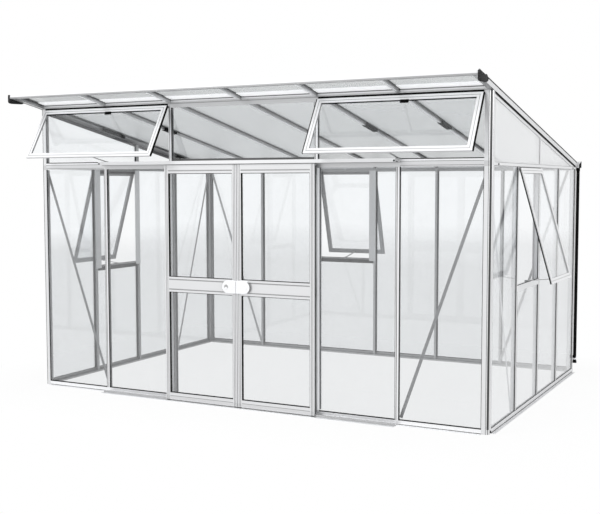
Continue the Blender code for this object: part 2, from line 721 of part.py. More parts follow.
def roof():
    """Rafters at the bay lines, wide bars at both edges, the front fascia, its caps and the glass."""
    front = down_slope(-OVERHANG)
    first = front + FASCIA_LIP + FIT
    last = down_slope(DEPTH - RAFTER_STOP)
    rafter = [(across, WALL - inward) for across, inward in glazing_bar()]
    lines = [(index - FRONT_BAYS / 2) * PITCH for index in range(FRONT_BAYS + 1)]

    def sloping(section, across):
        place = frame_at((across, (first + last) / 2, 0), *ALONG_UP)
        return stock(outline_mesh([section], last - first), ROOF @ place)

    for index, line in enumerate(lines[1:-1], 1):
        node(f"rafter_{index}", sloping(rafter, line), ALUMINIUM)

    edge = [
        (0, -EDGE_DROP), (CAP_THICK, -EDGE_DROP), (CAP_THICK, WALL - SHOULDER_BACK),
        (EDGE_WEB, WALL - SHOULDER_BACK), (EDGE_WEB, FOOT_THICK), (EDGE_OUT + SHEET, FOOT_THICK),
        (EDGE_OUT + SHEET, 0), (EDGE_OUT + WALL, 0), (EDGE_OUT + WALL, FOOT_THICK),
        (EDGE_WEB + WEB_WIDTH, FOOT_THICK), (EDGE_WEB + WEB_WIDTH, WALL - SHOULDER_BACK),
        (EDGE_CAP, WALL - SHOULDER_BACK), (EDGE_CAP, WALL - SHOULDER_DEPTH),
        (EDGE_OUT + WALL, WALL - SHOULDER_DEPTH), (EDGE_OUT + WALL, WALL - CAP_THICK),
        (EDGE_CAP, WALL - CAP_THICK), (EDGE_CAP, WALL), (EDGE_CHAMFER, WALL), (0, WALL - EDGE_CHAMFER),
    ]
    side = ROOF_WIDTH / 2
    node("left_roof_bar", sloping(edge, -side), ALUMINIUM)
    mirrored = [(-across, level) for across, level in edge]
    node("right_roof_bar", sloping(mirrored, side), ALUMINIUM)

    fascia = [
        (0, -FASCIA_DROP), (FASCIA_LIP, -FASCIA_DROP), (FASCIA_LIP, -FIT), (SHEET, -FIT),
        (SHEET, WALL - SHOULDER_BACK), (FASCIA_LIP, WALL - SHOULDER_BACK),
        (FASCIA_LIP, WALL - SHOULDER_DEPTH), (SHEET, WALL - SHOULDER_DEPTH), (SHEET, WALL - CAP_THICK),
        (FASCIA_LIP, WALL - CAP_THICK), (FASCIA_LIP, FASCIA_TOP), (0, FASCIA_TOP),
    ]
    fascia = [(front + along, level) for along, level in fascia]
    place = frame_at((0, 0, 0), *INWARD_UP)
    node("roof_front_edge", stock(outline_mesh([fascia], ROOF_WIDTH), ROOF @ place), WHITE_METAL)

    # The caps stand level against the side bars' outer faces
    base = roof_under(-OVERHANG) - CAP_HEIGHT + CAP_RISE
    cap = [(-OVERHANG - SHEET + along * CAP_LENGTH, base + up * CAP_HEIGHT) for along, up in CAP_SHARES]
    for name, sign in (("roof_cap_left", -1), ("roof_cap_right", 1)):
        place = frame_at((sign * (side + FIT + CAP_PLATE / 2), 0, 0), *INWARD_UP)
        node(name, stock(outline_mesh([cap], CAP_PLATE), place), DARK_PLASTIC)

    tail = down_slope(DEPTH + GLASS_TAIL, WALL)
    panes = [(start + BAR_GAP / 2, end - BAR_GAP / 2, tail, tail) for start, end in zip(lines, lines[1:])]
    points = comb(panes, front + SHEET + FIT, first - 2 * FIT)
    glass_level = WALL - CAP_THICK - FIT - GLASS_THICK / 2
    place = Matrix.Translation((0, 0, glass_level))
    node("roof_glass", stock(outline_mesh([points], GLASS_THICK), ROOF @ place), GLASS)


def gutter():
    """Gutter behind the eave, and the downpipe from its right end."""
    side = WIDTH / 2 + GUTTER_PAST
    inner = DEPTH + FIT
    outer = DEPTH + GUTTER_REACH
    trough = [
        (inner, GUTTER_BOTTOM), (outer, GUTTER_BOTTOM), (outer, GUTTER_OUTER_TOP),
        (inner, GUTTER_INNER_TOP),
    ]
    place = frame_at((0, 0, 0), *INWARD_UP)
    body = stock(outline_mesh([trough], 2 * side), place)
    hollow = box((-side + SHEET, inner + SHEET, GUTTER_BOTTOM + SHEET),
                 (side - SHEET, outer - SHEET, GUTTER_OUTER_TOP + OVERRUN), Matrix())
    node("gutter", joined([body], [hollow]), ALUMINIUM)
    pipe_x = WIDTH / 2 + PIPE_PAST
    pipe_y = DEPTH + GUTTER_REACH / 2
    ring = [
        [(radius * math.cos(turn), radius * math.sin(turn)) for turn in angles]
        for radius in (PIPE_RADIUS, PIPE_RADIUS - PIPE_WALL)
        for angles in [[2 * math.pi * side / ROUND_SIDES for side in range(ROUND_SIDES)]]
    ]
    top = GUTTER_BOTTOM - FIT
    height = top - PIPE_BOTTOM
    middle = Matrix.Translation((pipe_x, pipe_y, PIPE_BOTTOM + height / 2))
    pipe = stock(outline_mesh(ring, height), middle)
    clip = box((pipe_x - CLIP_WIDTH / 2, DEPTH + FIT, CLIP_LEVEL),
               (pipe_x + CLIP_WIDTH / 2, pipe_y - PIPE_RADIUS + PIPE_WALL / 2, CLIP_LEVEL + CLIP_HEIGHT),
               Matrix())
    node("downpipe", joined([pipe, clip]), DARK_PLASTIC)


# Sashes
def sash_section():
    """A sash bar with a groove for the glass and a line along its outer face, as (inset, level) points."""
    middle = SASH_THICK / 2
    half_slot = GLASS_THICK / 2 + FIT
    line = SASH_BAR / 2
    return [
        (0, 0), (SASH_BAR, 0), (SASH_BAR, -middle + half_slot), (SASH_BAR - GLASS_BITE, -middle + half_slot),
        (SASH_BAR - GLASS_BITE, -middle - half_slot), (SASH_BAR, -middle - half_slot), (SASH_BAR, -SASH_THICK),
        (line + SASH_GROOVE, -SASH_THICK), (line + SASH_GROOVE, -SASH_THICK + SASH_GROOVE),
        (line - SASH_GROOVE, -SASH_THICK + SASH_GROOVE), (line - SASH_GROOVE, -SASH_THICK), (0, -SASH_THICK),
    ]


def sash(name, width, length, hinge_at, hinge_up, opened, rest_up, wall):
    """A top-hung sash standing open, with a stay from its bottom rail to what rest_up is the top of."""
    down = Vector((0, -math.sin(opened), -math.cos(opened)))
    hung = wall @ frame_at((hinge_at, -FIT, hinge_up), (1, 0, 0), down)
    middle = hung @ Matrix.Translation((0, length / 2, 0))
    frame = stock(mitred_frame(width, length, sash_section()), middle)
    # The stay runs from inside the bottom rail to a pad on the ledge behind the wall's outer face
    low_rail = Vector((hinge_at, -FIT, hinge_up)) + down * (length - SASH_BAR / 2)
    outward = Vector((0, -math.cos(opened), math.sin(opened)))
    grip = low_rail + outward * (SASH_THICK / 4)
    foot = Vector((hinge_at, STAY_REACH / 2, rest_up + FIT + STAY_PAD - STAY_THICK))
    run = grip - foot
    place = wall @ frame_at((grip + foot) / 2, (1, 0, 0), run.normalized())
    half = (STAY_WIDTH / 2, run.length / 2, STAY_THICK / 2)
    arm = box([-size for size in half], half, place)
    pad = box((hinge_at - STAY_WIDTH / 2 - LAP, SHEET, rest_up + FIT),
              (hinge_at + STAY_WIDTH / 2 + LAP, STAY_REACH, rest_up + FIT + STAY_PAD), wall)
    node(name + "_frame", joined([frame, arm, pad]), WHITE_METAL)
    inset = SASH_BAR - GLASS_BITE + FIT
    glass = rectangle(-width / 2 + inset, -length / 2 + inset, width / 2 - inset, length / 2 - inset)
    place = middle @ Matrix.Translation((0, 0, -SASH_THICK / 2))
    node(name + "_glass", stock(outline_mesh([glass], GLASS_THICK), place), GLASS)


def sashes():
    """Two vents over the front's end bays, and a window in each of the other walls."""
    inner = WIDTH / 2 - DOOR_LINE - CAP_WIDTH / 2
    vent_middle = (POST_LEG + inner) / 2
    vent_width = inner - POST_LEG - 2 * VENT_CLEAR
    for name, at in (("left_vent", vent_middle), ("right_vent", WIDTH - vent_middle)):
        sash(name, vent_width, VENT_LENGTH, at, VENT_HINGE, VENT_OPEN, TRANSOM_TOP, FRONT)
    for name, bay, hinge, wall in (
        ("right_window", WINDOW_BAYS["right"], SIDE_HINGE, RIGHT),
        ("left_window", WINDOW_BAYS["left"], SIDE_HINGE, LEFT),
        ("back_window", WINDOW_BAYS["back"], BACK_HINGE, BACK),
    ):
        at = (bay_line(bay - 1) + bay_line(bay)) / 2
        sash(name, WINDOW_WIDTH, WINDOW_LENGTH, at, hinge, WINDOW_OPEN, WINDOW_SILL[1], wall)


# Doors
def tracks():
    """Top track with a ledge for the wheels, and the guide track on the ground."""
    place = frame_at((0, 0, 0), *INWARD_UP)
    back = -FIT - SHEET
    ledge_bottom = LEDGE_TOP - SHEET
    face_bottom = TRACK_TOP - TRACK_HEIGHT
    top = [
        (-FIT, ledge_bottom), (-FIT, TRACK_TOP), (TRACK_FACE, TRACK_TOP), (TRACK_FACE, face_bottom),
        (TRACK_FACE + SHEET, face_bottom), (TRACK_FACE + SHEET, TRACK_TOP - SHEET),
        (back, TRACK_TOP - SHEET), (back, LEDGE_TOP), (-LEDGE_REACH + SHEET, LEDGE_TOP),
        (-LEDGE_REACH + SHEET, LEDGE_TOP + LEDGE_LIP), (-LEDGE_REACH, LEDGE_TOP + LEDGE_LIP),
        (-LEDGE_REACH, ledge_bottom),
    ]
    node("door_top_track", stock(outline_mesh([top], 2 * TRACK_END), place), ALUMINIUM)
    rib = LEAF_FACE + LEAF_THICK / 2
    guide = [
        (-SILL_FLANGE - FIT, 0), (-SILL_FLANGE - FIT, FLOOR_TRACK_THICK),
        (rib + RIB_THICK / 2, FLOOR_TRACK_THICK), (rib + RIB_THICK / 2, RIB_TOP),
        (rib - RIB_THICK / 2, RIB_TOP), (rib - RIB_THICK / 2, FLOOR_TRACK_THICK),
        (FLOOR_TRACK_FRONT + FLOOR_TRACK_THICK, FLOOR_TRACK_THICK), (FLOOR_TRACK_FRONT, 0),
    ]
    node("door_bottom_track", stock(outline_mesh([guide], 2 * TRACK_END), place), ALUMINIUM)


def leaf(side, name):
    """A sliding leaf: fluted frame, mid rail, wheels on hangers, glass and half of the handle."""
    meeting = side * RUNNING / 2
    outer = side * LEAF_OUTER
    x0, x1 = sorted((meeting, outer))
    openings = [(x0 + STILE, BOTTOM_RAIL_TOP, x1 - STILE, MID_RAIL[0]),
                (x0 + STILE, MID_RAIL[1], x1 - STILE, TOP_RAIL_BOTTOM)]
    loops = [rectangle(x0, LEAF_BOTTOM, x1, LEAF_TOP)] + [rectangle(*hole) for hole in openings]
    middle = LEAF_FACE + LEAF_THICK / 2
    place = frame_at((0, middle, 0), *ALONG_UP)
    pieces = [stock(outline_mesh(loops, LEAF_THICK), place)]
    for share in WHEEL_SHARES:
        at = x0 + share * (x1 - x0)
        axle = LEDGE_TOP + FIT + WHEEL_RADIUS
        plate_back = LEAF_BACK - LAP
        pieces.append(box((at - HANGER_WIDTH / 2, plate_back - HANGER_THICK, LEAF_TOP - HANGER_WIDTH),
                          (at + HANGER_WIDTH / 2, plate_back, axle + 2 * AXLE_RADIUS), Matrix()))
        pieces.append(cylinder(AXLE_RADIUS, (at, plate_back - LAP, axle), (at, WHEEL_LINE, axle), Matrix()))
        pieces.append(cylinder(WHEEL_RADIUS, (at, WHEEL_LINE - WHEEL_WIDTH / 2, axle),
                               (at, WHEEL_LINE + WHEEL_WIDTH / 2, axle), Matrix()))
    # Grooves: the pocket that holds the glass, the guide slot below, and flutes on the face
    inset = STILE - GLASS_BITE
    half_slot = GLASS_THICK / 2 + FIT
    pocket_low = BOTTOM_RAIL_TOP - GLASS_BITE
    pocket_high = TOP_RAIL_BOTTOM + GLASS_BITE
    cutters = [
        box((x0 + inset, middle - half_slot, pocket_low), (x1 - inset, middle + half_slot, pocket_high), Matrix()),
        box((x0 - OVERRUN, middle - RIB_THICK / 2 - RUNNING, LEAF_BOTTOM - OVERRUN),
            (x1 + OVERRUN, middle + RIB_THICK / 2 + RUNNING, RIB_TOP + RUNNING), Matrix()),
    ]
    flute_back = LEAF_FACE + FLUTE_DEPTH
    for stile in (x0, x1 - STILE):
        for share in FLUTE_SHARES:
            at = stile + share * STILE
            cutters.append(box((at - FLUTE_WIDTH / 2, LEAF_FACE - OVERRUN, LEAF_BOTTOM - OVERRUN),
                               (at + FLUTE_WIDTH / 2, flute_back, LEAF_TOP + OVERRUN), Matrix()))
    for level in (TOP_RAIL_BOTTOM + BEAD_INSET, MID_RAIL[0] + BEAD_INSET, MID_RAIL[1] - BEAD_INSET):
        cutters.append(box((x0 + STILE - LAP, LEAF_FACE - OVERRUN, level - FLUTE_WIDTH / 2),
                           (x1 - STILE + LAP, flute_back, level + FLUTE_WIDTH / 2), Matrix()))
    node(name + "_door_frame", joined(pieces, cutters), ALUMINIUM)
    glass = rectangle(x0 + inset + FIT, pocket_low + FIT, x1 - inset - FIT, pocket_high - FIT)
    node(name + "_door_glass", stock(outline_mesh([glass], GLASS_THICK), place), GLASS)
    handle(side, name)


def handle(side, name):
    """Half of the round-ended handle plate; the left half carries the lock's round face."""
    radius = HANDLE_HEIGHT / 2
    straight = HANDLE_LENGTH / 2 - radius
    steps = ROUND_SIDES // 2
    arc = [(side * (straight + radius * math.cos(turn)), HANDLE_LEVEL + radius * math.sin(turn))
           for turn in [math.pi * (step / steps - 1 / 2) for step in range(steps + 1)]]
    edge = side * RUNNING / 2
    points = [(edge, HANDLE_LEVEL - radius), *arc, (edge, HANDLE_LEVEL + radius)]
    front = LEAF_FACE - FIT - HANDLE_PROUD
    place = frame_at((0, front + HANDLE_PROUD / 2, 0), *ALONG_UP)
    plate = stock(outline_mesh([points], HANDLE_PROUD), place)
    soften = plate.modifiers.new("soft_edges", "BEVEL")
    soften.width = HANDLE_EDGE
    soften.segments = 2
    soften.limit_method = "ANGLE"
    soften.angle_limit = math.radians(60.0)
    if side < 0:
        at = -HANDLE_LENGTH / 2 + LOCK_INSET
        lock = cylinder(LOCK_RADIUS, (at, front + HANDLE_EDGE, HANDLE_LEVEL - LOCK_RADIUS),
                        (at, front - LOCK_PROUD, HANDLE_LEVEL - LOCK_RADIUS), Matrix())
        plate = joined([plate, lock])
    node(name + "_handle", plate, WHITE_METAL)


side_frame("right_wall_frame", RIGHT, WINDOW_BAYS["right"], rises=False)
side_frame("left_wall_frame", LEFT, WINDOW_BAYS["left"], rises=True)
back_frame(WINDOW_BAYS["back"])
corner_posts()
front_wall()
wall_glass()
gable_glass()
roof()
gutter()
sashes()
tracks()
leaf(-1, "left")
leaf(1, "right")
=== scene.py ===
# %% [markdown]
# # Dressing a glass greenhouse
# The greenhouse comes as a frame of imported solids: bars, rails, sashes, doors and sheets of glass, each
# already at its real size and place. This notebook gives every surface its finish and adds the small
# things that such a frame is put together with. Nothing of the frame is moved.
#
# Loading comes first. The end prints the box of the dressed model.

# %% Load the frame
import math
import bpy
import numpy as np
from mathutils import Matrix, Vector


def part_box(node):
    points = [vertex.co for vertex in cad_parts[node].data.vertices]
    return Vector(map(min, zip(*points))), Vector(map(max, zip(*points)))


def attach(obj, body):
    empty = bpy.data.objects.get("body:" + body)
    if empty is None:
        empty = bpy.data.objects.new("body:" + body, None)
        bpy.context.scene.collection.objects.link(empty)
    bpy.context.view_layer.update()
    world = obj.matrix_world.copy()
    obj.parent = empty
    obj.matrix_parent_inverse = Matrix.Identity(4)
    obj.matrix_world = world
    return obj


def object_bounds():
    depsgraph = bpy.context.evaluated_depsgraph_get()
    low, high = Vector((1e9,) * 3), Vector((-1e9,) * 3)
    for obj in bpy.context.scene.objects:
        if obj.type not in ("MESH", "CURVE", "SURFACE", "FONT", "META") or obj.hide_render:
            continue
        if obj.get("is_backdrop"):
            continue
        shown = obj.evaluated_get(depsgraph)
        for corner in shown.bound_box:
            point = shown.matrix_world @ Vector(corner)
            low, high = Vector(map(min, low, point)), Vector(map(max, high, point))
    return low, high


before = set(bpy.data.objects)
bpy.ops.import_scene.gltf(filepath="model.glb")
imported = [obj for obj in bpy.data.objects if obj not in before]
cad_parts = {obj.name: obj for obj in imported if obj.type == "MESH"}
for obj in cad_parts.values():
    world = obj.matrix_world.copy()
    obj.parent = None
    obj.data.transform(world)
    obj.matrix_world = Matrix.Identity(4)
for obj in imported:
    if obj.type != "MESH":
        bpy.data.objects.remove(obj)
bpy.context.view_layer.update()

# %% [markdown]
# ## Where things are
# Later cells need a few lines of the building: the outer faces of its walls, the lines of its bars and the
# slope of its roof. Most are measured on the solids, so the dressing follows the frame if the frame changes;
# the roof's rise and the height of the rafters' shoulders are given as numbers.

# %% Measure the walls
post_low, post_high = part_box("front_right_post")
HALF_WIDTH = post_high.x
FRONT = post_low.y
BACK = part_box("back_right_post")[1].y
BAR_PITCH = (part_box("rafter_5")[0].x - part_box("rafter_1")[0].x) / 4
POST_LEG = 0.052
CORNER = HALF_WIDTH - 3 * BAR_PITCH
SILL_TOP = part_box("front_sill")[1].z
TRANSOM_LOW, TRANSOM_TOP = (corner.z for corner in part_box("front_transom"))
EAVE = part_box("back_wall_frame")[1].z
BAR_LINES = BAR_PITCH * np.arange(-2, 3)
SIDE_LINES = FRONT + CORNER + BAR_PITCH * np.arange(1, 4)
print("half width", round(HALF_WIDTH, 3), "depth", round(BACK - FRONT, 3), "bay", round(BAR_PITCH, 4))

# %% Measure the roof
HAIR = 0.0003
ROOF_RISE, SHOULDER = 0.468, 0.0277
FRONT_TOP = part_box("front_head_frame")[1].z + HAIR
ROOF_FALL = ROOF_RISE / (BACK - FRONT)
SLOPE = math.atan(ROOF_FALL)
GLASS_LIFT = SHOULDER / math.cos(SLOPE)


def roof_under(y):
    """Height of the rafters' underside: the front wall's top less the fall times the way back."""
    return FRONT_TOP - (y - FRONT) * ROOF_FALL


def glass_under(y):
    """Height of the roof glass's underside, which lies on the rafters' shoulders."""
    return roof_under(y) + GLASS_LIFT


def over_slope(y, z):
    """Distance over the rafters' underside, square to the slope: the height over it times the cosine."""
    return (z - FRONT_TOP + (y - FRONT) * ROOF_FALL) * math.cos(SLOPE)


print("slope", round(math.degrees(SLOPE), 2), "degrees, front top", round(FRONT_TOP, 3))

# %% [markdown]
# ## The camera
# The photograph looks at the front right corner from a little above the eye of a standing adult, through a
# fairly long lens. Six bays of the front and four of the side, whose width is known, fixed the camera's
# place, its turn and its lens. Blender wants the lens in millimetres on a 36 mm wide sensor.

# %% Place the camera
CAMERA_PLACE = (3.7781, -6.3732, 1.6619)
CAMERA_AZIMUTH, CAMERA_DOWN, CAMERA_ROLL = 27.295, 4.223, -0.074
PHOTO_WIDTH, FOCAL_PIXELS, SENSOR = 600, 1008.0, 36.0

camera_data = bpy.data.cameras.new("photograph")
camera_data.sensor_width = SENSOR
camera_data.lens = FOCAL_PIXELS * SENSOR / PHOTO_WIDTH
camera_data.clip_end = 200
camera = bpy.data.objects.new("photograph", camera_data)
bpy.context.scene.collection.objects.link(camera)
camera.location = CAMERA_PLACE
azimuth, down, roll = (math.radians(a) for a in (CAMERA_AZIMUTH, CAMERA_DOWN, CAMERA_ROLL))
forward = Vector((-math.sin(azimuth) * math.cos(down), math.cos(azimuth) * math.cos(down), -math.sin(down)))
turn = forward.to_track_quat("-Z", "Y").to_matrix() @ Matrix.Rotation(roll, 3, "Z")
camera.rotation_euler = turn.to_euler()
bpy.context.scene.camera = camera
print("lens", round(camera_data.lens, 2), "mm")

# %% [markdown]
# ## Writing shaders as sums
# A node tree drawn by hand is hard to read back. Here a socket is wrapped in a small class, so that
# `1 - mask * 0.5` adds the Math nodes it stands for. Every other node comes from one method, which takes the
# node's type, its settings and what goes into its sockets.

# %% Wire: a socket that does arithmetic
class Wire:
    """One output socket. Sums and products with numbers or other wires add Math nodes."""

    def __init__(self, finish, socket):
        self.finish, self.socket = finish, socket

    def maths(self, operation, *values):
        """A Math node with these values, in the order of its sockets."""
        return self.finish.add("ShaderNodeMath", {"operation": operation}, dict(enumerate(values)))

    def __add__(self, other): return self.maths("ADD", self, other)
    def __radd__(self, other): return self.maths("ADD", other, self)
    def __sub__(self, other): return self.maths("SUBTRACT", self, other)
    def __rsub__(self, other): return self.maths("SUBTRACT", other, self)
    def __mul__(self, other): return self.maths("MULTIPLY", self, other)
    def __rmul__(self, other): return self.maths("MULTIPLY", other, self)
    def __truediv__(self, other): return self.maths("DIVIDE", self, other)
    def __pow__(self, other): return self.maths("POWER", self, other)
    def __abs__(self): return self.maths("ABSOLUTE", self)

    def least(self, other): return self.maths("MINIMUM", self, other)
    def most(self, other): return self.maths("MAXIMUM", self, other)

    def ramp(self, start, end):
        """0 below start, 1 above end and a straight line between them."""
        return self.finish.add("ShaderNodeMapRange", {"clamp": True},
                               {"Value": self, "From Min": start, "From Max": end})

    def within(self, low, high, soft=0.0004):
        """1 between low and high, 0 outside them."""
        return self.ramp(low - soft, low + soft) * (1 - self.ramp(high - soft, high + soft))


# %% Finish: a material that adds nodes
class Finish:
    """A material's node tree and the few calls that the finishes below are written with."""

    def __init__(self, name):
        self.material = bpy.data.materials.new(name)
        self.material.use_nodes = True
        self.tree = self.material.node_tree
        self.tree.nodes.clear()

    def add(self, kind, settings=None, values=None, output=0):
        """Any node: its settings are set first, then its sockets get values or wires."""
        made = self.tree.nodes.new(kind)
        for name, value in (settings or {}).items():
            setattr(made, name, value)
        for name, value in (values or {}).items():
            if isinstance(value, Wire):
                self.tree.links.new(value.socket, made.inputs[name])
            else:
                made.inputs[name].default_value = value
        return Wire(self, made.outputs[output]) if made.outputs else made

    def place(self):
        """Object coordinates as three wires: metres of the building, as every piece is at the origin."""
        where = self.add("ShaderNodeTexCoord", output=3)
        return [self.add("ShaderNodeSeparateXYZ", None, {0: where}, output=k) for k in range(3)]

    def point(self, x, y, z):
        """Three wires as one vector."""
        return self.add("ShaderNodeCombineXYZ", None, {0: x, 1: y, 2: z})

    def noise(self, point, scale, detail=2.0, rough=0.5):
        """Noise with about scale cells to the metre."""
        return self.add("ShaderNodeTexNoise", {"noise_dimensions": "3D"},
                        {"Vector": point, "Scale": scale, "Detail": detail, "Roughness": rough})

    def mix(self, share, first, second, blend="MIX"):
        """A colour: first where share is 0, second where it is 1."""
        return self.add("ShaderNodeMix", {"data_type": "RGBA", "blend_type": blend},
                        {0: share, 6: first, 7: second}, output=2)

    def bump(self, height, strength, distance):
        """A normal that leans with the slope of height, where height 1 stands for distance in metres."""
        return self.add("ShaderNodeBump", None,
                        {"Height": height, "Strength": strength, "Distance": distance})

    def surface(self, shader):
        """The finished material."""
        self.add("ShaderNodeOutputMaterial", None, {"Surface": shader})
        return self.material


# %% [markdown]
# ## Aluminium
# The bars are extruded: pressed hot through a die, which leaves fine lines along their length, then anodised,
# which gives them a soft satin grey. Their outer caps catch the whole sky and read almost white, while the
# webs and feet inside the glass stay darker; this light and shade is painted into the colour. One function
# covers every bar: a second function gives the painted light and shade of a point, mostly from how far it
# lies behind the outer face of its wall, and stretched noise draws the die lines.

# %% The aluminium finish
def grey(value):
    """A grey with a trace of blue, as daylight on metal has."""
    return (value, value * 1.003, value * 1.010, 1.0)


DARKEST, PALEST = 0.05, 0.95


def aluminium(name, tone_of, lying_of):
    """Satin aluminium. tone_of gives the tone of a point, with its painted light and shade, and lying_of 1 on
    pieces that lie flat.
    """
    f = Finish(name)
    x, y, z = f.place()
    tone = tone_of(f, x, y, z)
    lying = lying_of(f, x, y, z)
    upright_lines = f.noise(f.point(x * 900, y * 900, z * 2), 1.0, 3.0)
    lying_lines = f.noise(f.point(x * 2, y * 2, z * 900), 1.0, 3.0)
    lines = upright_lines + (lying_lines - upright_lines) * lying
    cloud = f.noise(f.point(x, y, z), 2.3, 4.0, 0.6)
    shade = (lines - 0.5) * 0.35 + (cloud - 0.5) * 0.30
    bright = f.mix(tone.ramp(DARKEST, PALEST), grey(DARKEST), grey(PALEST))
    colour = f.mix(1.0, bright, f.mix(shade + 0.6, grey(0.88), grey(1.0)), "MULTIPLY")
    metal = f.add("ShaderNodeBsdfPrincipled", None, {
        "Base Color": colour, "Metallic": 0.60 + (cloud - 0.5) * 0.1,
        "Roughness": 0.36 + (lines - 0.5) * 0.16 + (cloud - 0.5) * 0.10,
        "Normal": f.bump(lines, 0.12, 0.0004)})
    return f.surface(metal)


def lies_down(f, x, y, z):
    """1 everywhere: the die lines run level."""
    return z * 0 + 1


def stands_up(f, x, y, z):
    """0 everywhere: the die lines run upright."""
    return z * 0


# %% [markdown]
# ## The walls' brightness
# A wall's bar has a cap in front of the glass, and a web and a foot behind it. Outside, the caps are nearly
# white, and the lip of the transom and of the sill gets a painted highlight, the palest line of all. Behind
# the glass the metal gets painted shade, by a different share on each wall, because each turns its inner face
# to other light. The head rail sits in the shade of the overhang, painted into a tone of its own, with a
# painted shadow line along its top.

# %% Tones of the wall bars
# LIP is a painted highlight, and HEAD and the four inner tones are painted shade.
OUTER, LIP, POST, HEAD = 0.88, 0.95, 0.78, 0.60
FRONT_INNER, BACK_INNER, LEFT_INNER, RIGHT_INNER = 0.28, 0.44, 0.36, 0.82


def wall_tone(f, x, y, z):
    """OUTER in front of the glass and the wall's painted shade behind it, where depth is the distance in from
    the nearest outer face. Bands of height and width pick out the head rail in painted shade, with a painted
    shadow line at its top, the posts, the lips as painted highlights and the shoulders that the glass lies
    on."""
    depth = (y - FRONT).least(BACK - y).least(HALF_WIDTH - abs(x))
    inside = depth.ramp(0.0060, 0.0080)
    shoulder = depth.within(0.0045, 0.0112) * z.ramp(SILL_TOP, SILL_TOP + 0.001)
    corner = abs(x).ramp(HALF_WIDTH - 0.0528, HALF_WIDTH - 0.0524)
    on_right = x.ramp(HALF_WIDTH - 0.054, HALF_WIDTH - 0.053) * y.ramp(0.053, 0.055)
    on_left = (1 - x.ramp(0.053 - HALF_WIDTH, 0.054 - HALF_WIDTH)) * y.ramp(0.053, 0.055)
    inner = FRONT_INNER + y.ramp(0.10, 0.12) * (BACK_INNER - FRONT_INNER)
    inner = inner + on_left * (LEFT_INNER - inner) + on_right * (RIGHT_INNER - inner)
    head = z.ramp(FRONT_TOP - 0.0345, FRONT_TOP - 0.0335) * (1 - y.ramp(0.03, 0.04)) * (
        1 - abs(x).ramp(HALF_WIDTH - 0.054, HALF_WIDTH - 0.053))
    rail_face = z.within(TRANSOM_LOW - 0.001, TRANSOM_LOW + 0.0355) * (1 - y.ramp(0.006, 0.007))
    top_line = z.ramp(FRONT_TOP - 0.0075, FRONT_TOP - 0.0065) * (1 - y.ramp(0.006, 0.007))
    lip = z.within(TRANSOM_TOP - 0.0145, TRANSOM_TOP).most(1 - z.ramp(SILL_TOP - 0.0005, SILL_TOP))
    outer = OUTER + head * (HEAD - OUTER) + corner * (POST - OUTER) - rail_face * 0.16
    outer = (outer + lip * (1 - corner) * (LIP - outer)) * (1 - top_line * 0.40)
    return (outer + inside * (inner - outer)) * (1 - shoulder * 0.85)


def rail_bands(f, x, y, z):
    """1 in the heights where sill, window rail, transom and sloping rail lie, and 0 on the uprights."""
    sill = 1 - z.ramp(0.046, 0.047)
    middle = z.within(0.8805, 0.9365)
    transom = z.within(TRANSOM_LOW - 0.005, TRANSOM_TOP)
    slope_rail = (z - (FRONT_TOP - 0.036) + (y - FRONT) * ROOF_FALL).ramp(0, 0.001)
    return sill.most(middle).most(transom).most(slope_rail)


wall_aluminium = aluminium("wall_aluminium", wall_tone, rail_bands)
print("wall aluminium ready")

# %% [markdown]
# ## The roof bars, the doors and the tracks
# A rafter is seen from below: its foot is pale, its web and shoulders lie in shade, which is painted into its
# tone, and the end under the overhang is painted lighter than the rest. A door leaf is pale on its outer
# face, and the shade in the fine flutes of its stiles and rails is painted in as dark lines, so the tone
# drops there.

# %% Tones of rafters, leaves and tracks
def rafter_tone(f, x, y, z):
    """Bright on the cap and on the underside of the foot, with painted shade on the edges where foot and
    shoulder turn in.
    """
    under = over_slope(y, z)
    foot = 1 - under.ramp(0.0004, 0.0010)
    edge = under.within(0.0010, 0.0045).most(under.within(0.0235, 0.0300))
    cap = under.ramp(0.031, 0.032)
    outside = 1 - y.ramp(-0.01, 0.0)
    return (0.58 + foot * 0.16 + cap * 0.24 + outside * 0.14) * (1 - edge * (0.62 - outside * 0.30))


LEAF_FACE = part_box("left_door_frame")[0].y
LEAF_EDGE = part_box("right_door_frame")[1].x


def leaf_tone(f, x, y, z):
    """Pale on the face and on the meeting edges, with painted shade in the flutes of the stiles, which lie
    behind the face, and in the lines of the rails, which lie at fixed heights."""
    depth = y - LEAF_FACE
    flute = depth.within(0.0012, 0.0032) * (1 - abs(x).ramp(LEAF_EDGE - 0.0006, LEAF_EDGE - 0.0003))
    flute = flute * abs(x).ramp(0.0028, 0.0030)
    back = depth.ramp(0.0240, 0.0250)
    face = 1 - depth.ramp(0.0010, 0.0014)
    edges = 1 - abs(x).ramp(0.0028, 0.0030)
    foot = 1 - z.ramp(0.0395, 0.0402)
    line = z.within(0.0370, 0.0412).most(z.within(0.8585, 0.8625)).most(z.within(0.9275, 0.9315))
    line = line.most(z.within(1.7530, 1.7570)) * (1 - abs(x).within(LEAF_EDGE - 0.035, LEAF_EDGE))
    line = line * abs(x).ramp(0.0370, 0.0376)
    pale = face * (0.28 - foot * 0.08 - line * 0.40)
    return 0.50 + pale - flute * 0.50 + back * 0.05 + edges * (1 - face) * 0.25


def track_tone(f, x, y, z):
    """Pale in front and duller from 60 mm before the wall inward."""
    return 0.84 - (y + 0.060).ramp(0.0, 0.004) * 0.34


